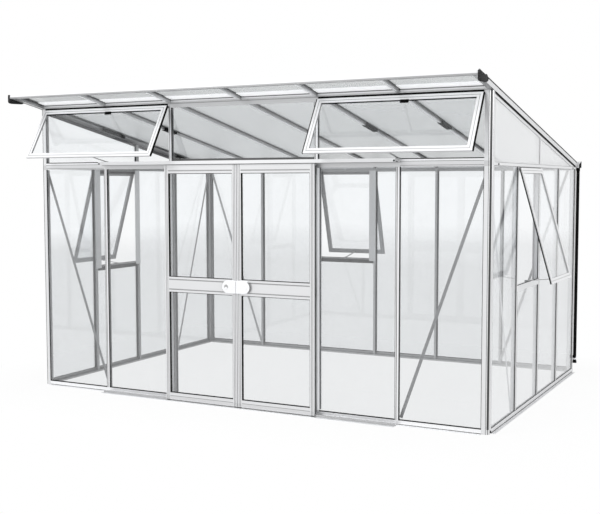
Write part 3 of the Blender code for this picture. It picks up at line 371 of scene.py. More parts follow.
def edge_tone(f, x, y, z):
    """The wide bars at the roof's sides are pale outside and painted half as bright underneath, for their
    shade, with painted shade lines where foot and shoulder turn in.
    """
    under = over_slope(y, z)
    outside = abs(x).ramp(HALF_WIDTH + 0.0030, HALF_WIDTH + 0.0040)
    rim = under.within(0.0285, 0.0355) * abs(x).ramp(HALF_WIDTH - 0.004, HALF_WIDTH - 0.003)
    line = under.within(0.0008, 0.0040).most(under.within(0.0235, 0.0300)) * (1 - outside)
    return (0.50 + outside * 0.20 + under.ramp(0.0355, 0.0358) * 0.3) * (1 - rim.most(line) * 0.72)


def shade_tone(f, x, y, z):
    """Dark, and a little lighter from 20 mm behind the wall's face."""
    return 0.24 + y.ramp(0.02, 0.03) * 0.12


def closer_tone(f, x, y, z):
    """The angle over the head rail: one tone with a painted highlight band 7 mm high."""
    return 0.62 + z.within(FRONT_TOP + 0.010, FRONT_TOP + 0.017) * 0.30


roof_aluminium = aluminium("roof_aluminium", rafter_tone, lies_down)
door_aluminium = aluminium("door_aluminium", leaf_tone, stands_up)
track_aluminium = aluminium("track_aluminium", track_tone, lies_down)
edge_aluminium = aluminium("edge_aluminium", edge_tone, lies_down)
dull_aluminium = aluminium("dull_aluminium", lambda f, x, y, z: z * 0 + 0.60, stands_up)
shade_aluminium = aluminium("shade_aluminium", shade_tone, stands_up)
closer_aluminium = aluminium("closer_aluminium", closer_tone, lies_down)
print("aluminium ready")

# %% [markdown]
# ## White lacquer
# The opening sashes, the roof's front edge and the handle are powder coated: a thick satin white film with a
# very slight orange-peel surface. It has no metal in it, so it keeps its white also where it reflects
# something dark. A sash's inner side faces the room, so it gets painted shade: the tone falls from the outer
# face inward, measured square to the sash, which hangs open at an angle. The strips under the overhang
# glow weakly, painted light for what shines up at them from below.

# %% The white finish
def lacquer(name, tone_of, rough=0.35, glow=0.0, mottle=0.0):
    """White film. tone_of gives the tone of a point, with painted light and shade where a finish needs them,
    glow is painted light of its own, and mottle is the share of small dark spots."""
    f = Finish(name)
    x, y, z = f.place()
    where = f.point(x, y, z)
    peel = f.noise(where, 900.0, 2.0)
    cloud = f.noise(where, 3.0, 3.0)
    bright = f.mix(tone_of(f, x, y, z).ramp(DARKEST, PALEST), grey(DARKEST), grey(PALEST))
    spots = f.noise(where, 220.0, 2.0)
    colour = f.mix(1.0, bright, f.mix(cloud.ramp(0.3, 0.7), grey(0.965), grey(1.0)), "MULTIPLY")
    colour = f.mix(spots.ramp(0.42, 0.56) * mottle, colour, grey(DARKEST))
    paint = f.add("ShaderNodeBsdfPrincipled", None, {
        "Base Color": colour, "Roughness": rough + (cloud - 0.5) * 0.12,
        "Emission Color": colour, "Emission Strength": glow,
        "Normal": f.bump(peel, 0.06, 0.0004)})
    return f.surface(paint)


def sash_tone(hinge, outward, pale=0.30):
    """Tone of a sash: pale on the outer face and falling to painted shade at the inner plane, with a grey
    line at the groove. proud is how far a point lies before the inner plane, which holds the hinge: the dot
    product of its offset from the hinge with the outward direction."""
    def tone_of(f, x, y, z):
        proud = (x - hinge[0]) * outward[0] + (y - hinge[1]) * outward[1] + (z - hinge[2]) * outward[2]
        face = proud.ramp(0.0140, 0.0146)
        groove = proud.within(0.0120, 0.0140, 0.0003)
        return 0.60 + face * pale - groove * 0.25 - (1 - proud.ramp(0.0006, 0.0012)) * 0.32
    return tone_of


# %% The sashes' finishes
VENT_TURN, WINDOW_TURN = math.radians(31.0), math.radians(16.0)
SASH_THICK = 0.015
VENT_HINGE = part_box("left_vent_frame")[1].z - SASH_THICK * math.sin(VENT_TURN)
SIDE_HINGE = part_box("right_window_frame")[1].z - SASH_THICK * math.sin(WINDOW_TURN)
BACK_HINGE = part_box("back_window_frame")[1].z - SASH_THICK * math.sin(WINDOW_TURN)
vent_out = (0.0, -math.cos(VENT_TURN), math.sin(VENT_TURN))
right_out = (math.cos(WINDOW_TURN), 0.0, math.sin(WINDOW_TURN))
left_out = (-math.cos(WINDOW_TURN), 0.0, math.sin(WINDOW_TURN))
back_out = (0.0, math.cos(WINDOW_TURN), math.sin(WINDOW_TURN))
HINGE_GAP = HAIR

vent_white = lacquer("vent_white", sash_tone((0, FRONT - HINGE_GAP, VENT_HINGE), vent_out))
right_white = lacquer("right_white", sash_tone((HALF_WIDTH + HINGE_GAP, 0, SIDE_HINGE), right_out, 0.14))
left_white = lacquer("left_white", sash_tone((-HALF_WIDTH - HINGE_GAP, 0, SIDE_HINGE), left_out))
back_white = lacquer("back_white", sash_tone((0, BACK + HINGE_GAP, BACK_HINGE), back_out))
plain_white = lacquer("plain_white", lambda f, x, y, z: z * 0 + 0.92)
# lit_white glows: painted light on the strips under the overhang.
lit_white = lacquer("lit_white", lambda f, x, y, z: z * 0 + 0.92, 0.35, 0.36)


def handle_tone(f, x, y, z):
    """White in front, and dark on the round ends, which turn away from the light."""
    return 0.93 - y.ramp(-0.0800, -0.0797) * abs(x).ramp(0.090, 0.105) * 0.72


# The handle glows faintly, painted light that keeps it white, and its round ends get painted shade.
handle_white = lacquer("handle_white", handle_tone, 0.30, 0.05, 0.10)


def edge_board_tone(f, x, y, z):
    """White, a little darker lower down, with a grey painted shadow line at the foot of the roof's front
    edge.
    """
    under = over_slope(y, z)
    return 0.90 - (1 - under.ramp(0.006, 0.034)) * 0.12 - (1 - under.ramp(0.0060, 0.0066)) * 0.46


edge_white = lacquer("edge_white", edge_board_tone)
print("vent hinge", round(VENT_HINGE, 4), "window hinges", round(SIDE_HINGE, 4), round(BACK_HINGE, 4))

# %% [markdown]
# ## Plastic and rubber
# End caps, clips and the downpipe are black moulded plastic with a grained skin, which the light catches as
# small dots. The seals are matt black rubber with a finer grain, and grey or pale where daylight washes them
# out. One function makes all of them: noise in the colour, in the roughness and in the bump. The specular
# level is low, or the white surroundings would turn the black to grey.

# %% The plastic finish
def moulded(name, tone, rough, grain=700.0, light=2.2):
    """Grained plastic or rubber. The colour goes from tone to tone * light with the grain and the dust."""
    f = Finish(name)
    x, y, z = f.place()
    where = f.point(x, y, z)
    skin = f.noise(where, grain, 3.0, 0.6)
    dust = f.noise(where, 6.0, 4.0, 0.6)
    share = skin.ramp(0.35, 0.75) * 0.5 + dust.ramp(0.45, 0.8) * 0.25
    colour = f.mix(share, grey(tone), grey(tone * light))
    plastic = f.add("ShaderNodeBsdfPrincipled", None, {
        "Base Color": colour, "Roughness": rough + (skin - 0.5) * 0.25, "Specular IOR Level": 0.03,
        "Normal": f.bump(skin, 0.35, 0.0006)})
    return f.surface(plastic)


dark_plastic = moulded("dark_plastic", 0.008, 0.7, 130.0, 14.0)
pipe_black = moulded("pipe_black", 0.004, 0.7)
black_rubber = moulded("black_rubber", 0.006, 0.62, 1500.0)
grey_rubber = moulded("grey_rubber", 0.12, 0.60, 1500.0, 1.5)
pale_rubber = moulded("pale_rubber", 0.42, 0.60, 1500.0, 1.2)

# %% [markdown]
# ## Glass
# A sheet this thin hardly bends what lies behind it, so it is a Transparent shader and not a Glass one, with
# a mirror over it. The mirror's share is small straight on and grows as the sheet is seen from the side. A
# grey coat lies over both: spots of dust all over, and on the walls' panes up to 1.1 m, fading out by 1.26 m,
# a painted reflection that makes the lower panes darker. It is a third shader, because only a Mix Shader's
# factor may change over the sheet. The roof's panes are darker and duller: a deeper tint, a greyer and
# rougher mirror and more dust. The right gable's pane reads almost white in the photograph, so its mirror is
# strong even straight on.

# %% The glass finish
def sheet_glass(name, tint, film=0.08, low=1.10, high=1.26, dust_share=0.02, mirror_tone=0.97, haze=0.02,
                straight=0.05):
    """Transparent and mirror, where the mirror's share is straight + (1 - straight) * facing to the fifth
    power, and a grey coat over both: a painted reflection, whose share falls from film to nothing between the
    heights low and high, and spots of dust, whose share is up to dust_share."""
    f = Finish(name)
    x, y, z = f.place()
    facing = f.add("ShaderNodeLayerWeight", None, {"Blend": 0.5}, output=1)
    clear = f.add("ShaderNodeBsdfTransparent", None, {"Color": (*tint, 1.0)})
    mirror = f.add("ShaderNodeBsdfPrincipled", None, {
        "Base Color": grey(mirror_tone), "Metallic": 1.0, "Roughness": haze})
    mirrored = straight + (1 - straight) * facing ** 5
    sheet = f.add("ShaderNodeMixShader", None, {0: mirrored, 1: clear, 2: mirror})
    dust = f.noise(f.point(x, y, z), 4.0, 5.0, 0.65)
    dust_and_painted_reflection = f.add("ShaderNodeBsdfPrincipled", None, {
        "Base Color": f.mix(dust, grey(0.30), grey(0.42)), "Roughness": 0.8})
    # The coat's share: the painted reflection on the lower panes, plus spots of dust.
    share = (1 - z.ramp(low, high)) * film + dust.ramp(0.45, 0.85) * dust_share
    return f.surface(f.add("ShaderNodeMixShader", None, {0: share, 1: sheet, 2: dust_and_painted_reflection}))


wall_glass = sheet_glass("wall_glass", (0.978, 0.984, 0.988))
roof_glass = sheet_glass("roof_glass", (0.920, 0.930, 0.932), film=0.0, low=0.0, high=0.1, dust_share=0.05,
                         mirror_tone=0.72, haze=0.45)
gable_glass = sheet_glass("gable_glass", (0.985, 0.990, 0.992), film=0.0, low=0.0, high=0.1, dust_share=0.02,
                          mirror_tone=0.98, haze=0.3, straight=0.36)
print("glass, plastic and rubber ready")

# %% [markdown]
# ## Which piece wears what
# A node keeps its mesh and gets its finish by its material slot. The last line that fits a name wins.

# %% Give every node its finish
FINISHES = {
    wall_aluminium: ("_wall_frame", "_post", "_left_bar", "_right_bar", "_sill", "_transom", "_head_frame",
                     "_brace", "_door_post"),
    roof_aluminium: ("rafter_",),
    door_aluminium: ("_door_frame",),
    track_aluminium: ("door_top_track", "door_bottom_track"),
    edge_aluminium: ("gutter", "_roof_bar"),
    vent_white: ("_vent_frame",),
    right_white: ("right_window_frame",),
    left_white: ("left_window_frame",),
    back_white: ("back_window_frame",),
    edge_white: ("roof_front_edge",),
    handle_white: ("_handle",),
    dark_plastic: ("roof_cap_",),
    pipe_black: ("downpipe",),
    wall_glass: ("_glass",),
    gable_glass: ("right_gable_glass",),
    roof_glass: ("roof_glass",),
}
dressed = {}
for name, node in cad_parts.items():
    for finish, words in FINISHES.items():
        if any(word in name for word in words):
            dressed[name] = finish
    node.data.materials.clear()
    node.data.materials.append(dressed[name])
print(len(dressed), "of", len(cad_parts), "nodes dressed")

# %% [markdown]
# ## Making new pieces
# Every new piece is a set of rings of points with a skin over them. A straight seal is a profile at its two
# ends, a seal round a pane is a profile at four mitred corners, and a bolt is a set of circles. So one
# function makes the faces for all of them, from an array with the item, the ring and the corner as its axes,
# and it turns the rings that run the wrong way round, so that every face looks outward.

# %% A skin over rings of points
def skin(points, closed=False):
    """Quads between neighbouring rings, and a lid on each open end. A ring runs the right way round when its
    area, the sum of the cross products of its corners, points from the first ring towards the second."""
    points = np.array(points, float)
    first = points[:, 0]
    area = np.cross(first, np.roll(first, -1, 1)).sum(1)
    wrong = (area * (points[:, 1].mean(1) - first.mean(1))).sum(1) < 0
    points[wrong] = points[wrong][:, :, ::-1]
    items, rings, count = points.shape[:3]
    corner = np.arange(count)
    ring = np.arange(rings if closed else rings - 1)[:, None] * count
    ahead, side = (ring + count) % (rings * count), np.roll(corner, -1)
    quads = np.stack([ring + corner, ring + side, ahead + side, ahead + corner], -1).reshape(-1, 4)
    base = np.arange(items)[:, None] * rings * count
    faces = [(quads[None] + base[:, :, None]).reshape(-1, 4)]
    if not closed:
        faces += [base + corner[::-1], base + (rings - 1) * count + corner]
    return points.reshape(-1, 3), faces


# %% Profiles along straight lines, round a pane and round an axis
def rows(*values):
    """Several points or directions, each one or many, as arrays with the same number of rows."""
    values = [np.atleast_2d(np.asarray(v, float)) for v in values]
    count = max(len(v) for v in values)
    return [np.broadcast_to(v, (count, 3)) for v in values]


def strips(profile, start, end, across, out):
    """Straight strips: point = start or end + profile across * across + profile height * out."""
    start, end, across, out = rows(start, end, across, out)
    wide, high = np.asarray(profile, float).T[:, None, :, None]
    section = wide * across[:, None] + high * out[:, None]
    return skin(np.stack([start[:, None] + section, end[:, None] + section], 1))


def hoop(profile, corners, out):
    """A profile round a flat closed path. At a corner it goes along the sum of the two sides' normals,
    divided by one plus their cosine, which is the mitre."""
    corners, out = np.asarray(corners, float), np.asarray(out, float)
    ahead = np.roll(corners, -1, 0) - corners
    ahead /= np.linalg.norm(ahead, axis=1)[:, None]
    inward = np.cross(out, ahead)
    before = np.roll(inward, 1, 0)
    mitre = (before + inward) / (1 + (before * inward).sum(1))[:, None]
    wide, high = np.asarray(profile, float).T[:, None, :, None]
    return skin((corners[:, None] + wide * mitre[:, None] + high * out)[None], closed=True)


def turned(profile, centres, axis, sides=12):
    """Round pieces: point = centre + radius * (cosine * u + sine * v) + height * axis."""
    centres, axis = np.atleast_2d(np.asarray(centres, float)), np.asarray(axis, float)
    u = np.cross(axis, (0.31, 0.42, 0.85))
    u /= np.linalg.norm(u)
    angle = 2 * np.pi * np.arange(sides) / sides
    circle = np.cos(angle)[:, None] * u + np.sin(angle)[:, None] * np.cross(axis, u)
    radius, height = np.asarray(profile, float).T[:, :, None, None]
    return skin(centres[:, None, None] + radius * circle + height * axis)


# %% From skins to an object
def piece(name, parts, finish, body="frame", crease=None):
    """One object from several skins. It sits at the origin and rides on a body."""
    starts = np.cumsum([0] + [len(points) for points, _ in parts])
    points = np.concatenate([points for points, _ in parts])
    faces = [group + start for start, (_, groups) in zip(starts, parts) for group in groups]
    mesh = bpy.data.meshes.new(name)
    mesh.from_pydata(points.tolist(), [], sum((group.tolist() for group in faces), []))
    mesh.materials.append(finish)
    if crease is not None:
        mesh.shade_smooth()
        mesh.set_sharp_from_angle(angle=math.radians(crease))
    made = bpy.data.objects.new(name, mesh)
    bpy.context.scene.collection.objects.link(made)
    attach(made, body)
    print(name, len(points), "points,", len(mesh.polygons), "faces")
    return made


def block(wide, high):
    """A rectangle as a profile: (low, high) across and (low, high) out."""
    return [(wide[0], high[0]), (wide[1], high[0]), (wide[1], high[1]), (wide[0], high[1])]


def bead(width, height, steps=7):
    """A half-round profile: across = -cosine * width / 2, height = sine * height."""
    angle = np.linspace(0, np.pi, steps)
    return np.stack([-np.cos(angle) * width / 2, np.sin(angle) * height], 1)


# %% [markdown]
# ## Rubber in the posts and painted shade in the bars
# Glazing bars have a groove in their cap, and the corner posts one in each face. The posts' grooves hold a
# rubber cord, and in the caps a grey strip 4 mm off the bar's line paints the shade of the groove. Seen from
# a few metres they are the fine dark lines that run up the building. Each is a half-round bead that stands a
# fraction of a millimetre proud of the metal.

# %% Cords in the posts and painted shade in the caps
X, Y, Z = np.eye(3)
GROOVE_AT, GROOVE_DEEP = 0.0225, 0.0026
POST_CORD = bead(0.0046, 0.0034)


def post_cords():
    """Two cords for each of the four posts, one in the front or back face and one in the side face."""
    sets = []
    for side in (-1, 1):
        for face, outward, top in ((FRONT, -1, FRONT_TOP), (BACK, 1, EAVE)):
            x, y = side * (HALF_WIDTH - GROOVE_AT), face - outward * GROOVE_DEEP
            sets.append(strips(POST_CORD, (x, y, 0.001), (x, y, top - 0.004), X, outward * Y))
            x, y = side * (HALF_WIDTH - GROOVE_DEEP), face - outward * GROOVE_AT
            top_there = min(top, roof_under(y))
            sets.append(strips(POST_CORD, (x, y, 0.001), (x, y, top_there - 0.004), Y, side * X))
    return sets


piece("post_cords", post_cords(), black_rubber)
# The strips in the caps are thin grey beads 4 mm off the bar's line that paint the shade of the groove.
CAP_SHADE_OFF, HEAD_RAIL = 0.004, 0.036
cap_groove_shade = [strips(bead(0.0055, 0.0007), (line - CAP_SHADE_OFF, FRONT + 0.0001, SILL_TOP + 0.001),
                    (line - CAP_SHADE_OFF, FRONT + 0.0001, TRANSOM_LOW - 0.001), X, -Y)
             for line in (BAR_LINES[0], BAR_LINES[4])]
cap_groove_shade += [strips(bead(0.0055, 0.0005), (line - CAP_SHADE_OFF, FRONT + 0.0007, TRANSOM_TOP + 0.001),
                     (line - CAP_SHADE_OFF, FRONT + 0.0007, FRONT_TOP - HEAD_RAIL), X, -Y)
              for line in (BAR_LINES[1], BAR_LINES[3])]
piece("cap_groove_shade", cap_groove_shade, grey_rubber)

# %% [markdown]
# ## Closing the gap under the roof
# The rafters lie on top of the walls, so a gap as high as a rafter is left between the wall's top rail and
# the glass. Short lengths of angle between the rafters close it: in front with a white flange out under the
# glass, which glows with painted light, and a grey strip in the fold that paints the shade where the flange
# folds down, and at the back with a plain strip.

# %% Closing angles and strips
RAFTER_HALF, SIDE_BAR_IN, REACH = 0.0135, 0.037, 0.085
edges = [-HALF_WIDTH + SIDE_BAR_IN, *BAR_LINES, HALF_WIDTH - SIDE_BAR_IN]
bays = [(a + (RAFTER_HALF if a in BAR_LINES else 0), b - (RAFTER_HALF if b in BAR_LINES else 0))
        for a, b in zip(edges, edges[1:])]
lefts, rights = (np.array([[bay[k], 0, 0] for bay in bays]) for k in (0, 1))

flange = [(y, glass_under(y) - drop)
          for y, drop in ((-REACH, 0.0008), (-REACH, 0.0028), (-0.0020, 0.0028), (-0.0020, 0.0008))]
leg = [(-0.0030, FRONT_TOP + 0.0010), (-0.0008, FRONT_TOP + 0.0010), (-0.0008, glass_under(0) - 0.0032),
       (-0.0030, glass_under(0) - 0.0032)]
TAIL_FRONT, TAIL_BACK = BACK - 0.038, BACK - 0.034
tail = [(TAIL_FRONT, EAVE + 0.001), (TAIL_BACK, EAVE + 0.001), (TAIL_BACK, glass_under(TAIL_BACK) - 0.001),
        (TAIL_FRONT, glass_under(TAIL_FRONT) - 0.001)]
piece("soffit_strips", [strips(flange, lefts, rights, Y, Z)], lit_white)
piece("head_closers", [strips(leg, lefts, rights, Y, Z)], closer_aluminium)
fold = block((-0.0042, -0.0030), (glass_under(0) - 0.0085, glass_under(0) - 0.0034))
# The grey strip in the fold is painted shade where the flange folds down.
piece("head_lines", [strips(fold, lefts, rights, Y, Z)], grey_rubber)
piece("eave_closers", [strips(tail, lefts, rights, Y, Z)], dull_aluminium)

# %% [markdown]
# ## Seals of the vents and windows
# Each opening sash hangs from a rubber hinge line and closes on rubber at its sides. The glass in it sits on
# a narrow gasket, black at the top of the vents. The side seals follow the sash's slope, so they are straight
# strips between its corners, and the gasket is a hoop round the pane. The seals differ in tone, because some
# show their black face and others only a thin lit edge.

# %% Corners of a sash
def sash_frame(glass, outward, hinge, across):
    """Top middle of a sash's inner plane, its directions across, down and out, half width and length. Down is
    the cross product of the other two, and the length is the pane's rise over down's share of it."""
    low, high = (np.array(corner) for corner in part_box(glass))
    outward, across = np.asarray(outward, float), np.asarray(across, float)
    fall = np.cross(across, outward)
    fall *= -np.sign(fall[2])
    middle = (low + high) / 2
    half = abs(((high - low) * across).sum()) / 2
    top = np.asarray(hinge, float) * (1 - across) + middle * across
    rise = high[2] - low[2] - 0.004 * outward[2]
    length = rise / -fall[2]
    return top, across, fall, outward, half, length


GASKET_IN, SASH_RAIL = 0.0303, 0.038
SASHES = {
    "left_vent": (vent_out, (0, FRONT - HINGE_GAP, VENT_HINGE), X),
    "right_vent": (vent_out, (0, FRONT - HINGE_GAP, VENT_HINGE), X),
    "right_window": (right_out, (HALF_WIDTH + HINGE_GAP, 0, SIDE_HINGE), Y),
    "left_window": (left_out, (-HALF_WIDTH - HINGE_GAP, 0, SIDE_HINGE), Y),
    "back_window": (back_out, (0, BACK + HINGE_GAP, BACK_HINGE), X),
}
top_gaskets, pane_gaskets, side_seals, edge_lines, pale_lines = [], [], [], [], []
for name, (outward, hinge, across) in SASHES.items():
    top, across, fall, out, half, length = sash_frame(name + "_glass", outward, hinge, across)
    edge = half + GASKET_IN
    reach = length + 2 * GASKET_IN
    inner = edge - SASH_RAIL
    corners = [top + across * s * inner + fall * d for s, d in
               ((-1, SASH_RAIL), (1, SASH_RAIL), (1, reach - SASH_RAIL), (-1, reach - SASH_RAIL))]
    vent = name.endswith("vent")
    if vent:
        top_gaskets.append(
            strips(block((-0.0005, 0.0075), (0.0096, 0.0118)), corners[0], corners[1], fall, out))
    corners = corners if np.dot(np.cross(across, fall), out) > 0 else corners[::-1]
    (pale_lines if name == "right_window" else pane_gaskets).append(
        hoop(block((0.0, 0.0022), (0.0096, 0.0108)), corners, out))
    for side in (-1, 1):
        line = top + across * side * edge
        ends = line + fall * 0.002, line + fall * (reach - 0.001)
        if vent and not (name == "left_vent" and side == -1):
            side_seals.append(strips(block((-0.0004, 0.0080), (0.0008, 0.0142)), *ends, across * side, out))
        elif name == "right_window" and side == -1:
            side_seals.append(strips(block((-0.0004, 0.0010), (0.0008, 0.0090)), *ends, across * side, out))
        elif name == "right_window":
            pale_lines.append(strips(block((-0.0004, 0.0010), (0.0008, 0.0078)), *ends, across * side, out))
        else:
            edge_lines.append(strips(block((-0.0004, 0.0010), (0.0008, 0.0078)), *ends, across * side, out))
piece("vent_top_gaskets", top_gaskets, black_rubber)
piece("sash_side_seals", side_seals, black_rubber)
piece("sash_edge_lines", edge_lines + pane_gaskets, grey_rubber)
piece("window_edge_lines", pale_lines, pale_rubber)

# %% Hinge seals over the sashes' top edges
vent_low, vent_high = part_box("right_vent_frame")
HINGE_SEAL = block((-0.0042, -0.0006), (VENT_HINGE + 0.0080, VENT_HINGE + 0.0215))
hinge_seals = [strips(HINGE_SEAL, (side * vent_low.x, 0, 0), (side * vent_high.x, 0, 0), Y, Z)
               for side in (-1, 1)]
piece("vent_hinge_seals", hinge_seals, black_rubber)

# %% [markdown]
# ## Seals of the doors
# The panes of the two door leaves are held by a rubber gasket that follows the whole edge of each opening,
# and it is the darkest line of the front. Each leaf also has an upright wiper on its outer edge and two small
# rubber feet. They ride on their leaf, so they slide with it.

# %% Gaskets, wiper and feet of the leaves
STILE, BOTTOM_RAIL, MID_LOW, MID_HIGH, TOP_RAIL = 0.035, 0.063, 0.838, 0.952, 1.732
GLASS_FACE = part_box("left_door_glass")[0].y
for side, leaf in ((-1, "left_door"), (1, "right_door")):
    leaf_low, leaf_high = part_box(leaf + "_frame")
    left, right = leaf_low.x + STILE, leaf_high.x - STILE
    hoops = []
    for low, high in ((BOTTOM_RAIL, MID_LOW), (MID_HIGH, TOP_RAIL)):
        ring = [(left, 0, low), (right, 0, low), (right, 0, high), (left, 0, high)]
        hoops.append(hoop(block((-0.0003, 0.0042), (-GLASS_FACE, -GLASS_FACE + 0.0060)), ring, -Y))
        hoops.append(hoop(block((-0.0003, 0.0042), (-GLASS_FACE - 0.0100, -GLASS_FACE - 0.0040)), ring, -Y))
    piece(leaf + "_gaskets", hoops, black_rubber, body=leaf + "_leaf")
    y = LEAF_FACE + 0.013
    feet = [strips(block((-0.012, 0.012), (-0.010, 0.010)), (x, y, 0.0035), (x, y, 0.0101), X, Y)
            for x in (leaf_low.x + 0.014, leaf_high.x - 0.014)]
    piece(leaf + "_feet", feet, black_rubber, body=leaf + "_leaf")
    x, y = side * LEAF_EDGE, LEAF_FACE + 0.0200
    wiper = strips(bead(0.007, 0.0042), (x, y, 0.012), (x, y, 1.780), Y, side * X)
    piece(leaf + "_wiper", [wiper], black_rubber, body=leaf + "_leaf")

# %% [markdown]
# ## Rubber along the glass
# Where a pane meets a bar, a strip of rubber shows beside the cap. It is the fine dark line on each side of
# every bar, at the foot of the panes and over the transom. The sills and rails also have fine joints and
# folded edges that read as grey lines. All strips of one direction are made in one call, from arrays of
# their starts and ends.

# %% Upright strips beside the caps
CAP_HALF, STRIP = 0.012, block((0.0, 0.0034), (0.0002, 0.0042))
WINDOW_SILL = 0.887
SIDE_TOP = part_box("right_wall_glass")[1].z - 0.010
BACK_TOP = EAVE - 0.030


def upright_strips(edges, place, along, inward):
    """Strips beside caps. edges holds (distance along the wall, side that the pane is on, foot, head)."""
    edges = np.array(edges, float)
    base = np.asarray(place, float) + edges[:, :1] * along
    return strips(STRIP, base + edges[:, 2:3] * Z, base + edges[:, 3:4] * Z, edges[:, 1:2] * along, inward)


post_edge = HALF_WIDTH - POST_LEG
front_edges = [(side * (BAR_LINES[4] + turned_to * CAP_HALF), side * turned_to, SILL_TOP, TRANSOM_LOW)
               for side in (-1, 1) for turned_to in (-1, 1)]
front_edges += [(side * post_edge, -side, SILL_TOP, TRANSOM_LOW) for side in (-1, 1)]
front_edges += [(side * (BAR_LINES[3] - CAP_HALF), -side, TRANSOM_TOP, FRONT_TOP - 0.034) for side in (-1, 1)]
side_edges = [(y + turned_to * CAP_HALF, turned_to, SILL_TOP,
               WINDOW_SILL if (k, turned_to) in ((0, 1), (1, -1)) else SIDE_TOP)
              for k, y in enumerate(SIDE_LINES) for turned_to in (-1, 1)]
side_edges += [(FRONT + POST_LEG, 1, SILL_TOP, SIDE_TOP), (BACK - POST_LEG, -1, SILL_TOP, SIDE_TOP),
               (FRONT + POST_LEG, 1, SIDE_TOP + 0.028, roof_under(0.06) - 0.040)]
back_edges = [(x + turned_to * CAP_HALF, turned_to, SILL_TOP,
               WINDOW_SILL if (k, turned_to) in ((1, 1), (2, -1)) else BACK_TOP)
              for k, x in enumerate(BAR_LINES) for turned_to in (-1, 1)]
back_edges += [(side * post_edge, -side, SILL_TOP, BACK_TOP) for side in (-1, 1)]
piece("upright_gaskets", [
    upright_strips(front_edges, (0, FRONT, 0), X, Y),
    upright_strips(back_edges, (0, BACK, 0), X, -Y)], black_rubber)
piece("side_gaskets", [
    upright_strips(side_edges, (HALF_WIDTH, 0, 0), Y, -X),
    upright_strips(side_edges, (-HALF_WIDTH, 0, 0), Y, X)], grey_rubber)

# %% Level strips at the foot of the panes
DOOR_GAP = BAR_LINES[3] + CAP_HALF
SIDE_RUN, WIDE_RUN = (FRONT + 0.053, BACK - 0.053), (-post_edge + 0.001, post_edge - 0.001)


def level_strips(wide, high, walls=slice(None)):
    """A rectangle of depth and height along some walls: 0 and 1 beside the doorway, 2 back, 3 and 4 sides."""
    profile = block(wide, high)
    runs = [((WIDE_RUN[0], FRONT, 0), (-DOOR_GAP, FRONT, 0), Y),
            ((DOOR_GAP, FRONT, 0), (WIDE_RUN[1], FRONT, 0), Y),
            ((WIDE_RUN[0], BACK, 0), (WIDE_RUN[1], BACK, 0), -Y),
            ((HALF_WIDTH, SIDE_RUN[0], 0), (HALF_WIDTH, SIDE_RUN[1], 0), -X),
            ((-HALF_WIDTH, SIDE_RUN[0], 0), (-HALF_WIDTH, SIDE_RUN[1], 0), X)]
    starts, ends, depth = (np.array([run[k] for run in runs[walls]], float) for k in range(3))
    return strips(profile, starts, ends, depth, Z)


ENDS, SIDES = slice(0, 3), slice(3, 5)
piece("sill_gaskets", [level_strips((0.0006, 0.0042), (SILL_TOP + 0.0002, SILL_TOP + 0.0078), ENDS)],
      black_rubber)
piece("side_sill_gaskets", [level_strips((0.0006, 0.0042), (SILL_TOP + 0.0002, SILL_TOP + 0.0050), SIDES)],
      grey_rubber)
piece("side_rail_lines", [level_strips((-0.0005, 0.0006), (SIDE_TOP + low, SIDE_TOP + low + 0.0022), SIDES)
                          for low in (0.0008, 0.0230)], grey_rubber)
piece("sill_joints", [level_strips((-0.0018, 0.0004), (0.0030, 0.0064))], grey_rubber)

# %% Level strips over the transom
over = block((0.0004, 0.0040), (TRANSOM_TOP + 0.0002, TRANSOM_TOP + 0.0066))
tall = block((0.0004, 0.0040), (TRANSOM_TOP + 0.0002, TRANSOM_TOP + 0.0230))
starts, ends = [(WIDE_RUN[0], 0, 0), (DOOR_GAP, 0, 0)], [(-DOOR_GAP, 0, 0), (WIDE_RUN[1], 0, 0)]
piece("transom_gaskets", [strips(over, starts, ends, Y, Z)], black_rubber)
middle = BAR_LINES[3] - CAP_HALF
piece("upper_pane_gasket", [strips(tall, (-middle, 0, 0), (middle, 0, 0), Y, Z)], grey_rubber)
TRACK_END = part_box("door_top_track")[1].x
LINE_HEIGHTS = ((TRANSOM_TOP - 0.0145, TRANSOM_TOP - 0.0115), (TRANSOM_LOW + 0.0075, TRANSOM_LOW + 0.0100))
starts = [(WIDE_RUN[0], 0, 0), (TRACK_END + 0.004, 0, 0)]
ends = [(-TRACK_END - 0.004, 0, 0), (WIDE_RUN[1], 0, 0)]
piece("transom_lines", [strips(block((-0.0006, 0.0006), band), starts, ends, Y, Z) for band in LINE_HEIGHTS],
      grey_rubber)

# %% Strips on the slope: under the side bars, in the verge and beside the rafters
slope_up = np.array((0, math.sin(SLOPE), math.cos(SLOPE)))


def on_slope(x, y, up=0.0):
    """A point on the roof: the rafters' underside at y, and a distance square to the slope."""
    return np.array((x, y, roof_under(y))) + up * slope_up


gable = [strips(block((-0.0150, -0.0010), (-0.0003, 0.0040)), on_slope(side * HALF_WIDTH, FRONT + 0.056),
                on_slope(side * HALF_WIDTH, BACK - 0.060), slope_up, side * X) for side in (-1, 1)]
piece("gable_seals", gable, black_rubber)
bar_low, bar_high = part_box("right_roof_bar")
VERGE = [on_slope(side * (bar_high.x - 0.0035), y, 0.0372)
         for side in (-1, 1) for y in (bar_low.y + 0.01, BACK - 0.01)]
piece("verge_cords", [strips(bead(0.0075, 0.0065, 9), VERGE[::2], VERGE[1::2], X, slope_up)], grey_rubber)
RAFTER_EDGE = 0.0122
under_glass = block((0.0, 0.0040), (0.0225, 0.0262))
RAFTER_RUN = (-0.315, BACK - 0.05)
rafter_ends = [[on_slope(x + side * RAFTER_EDGE, y) for x in BAR_LINES for side in (-1, 1)]
               for y in RAFTER_RUN]
outward_ways = [side * X for x in BAR_LINES for side in (-1, 1)]
piece("rafter_gaskets", [strips(under_glass, *rafter_ends, outward_ways, slope_up)], grey_rubber)

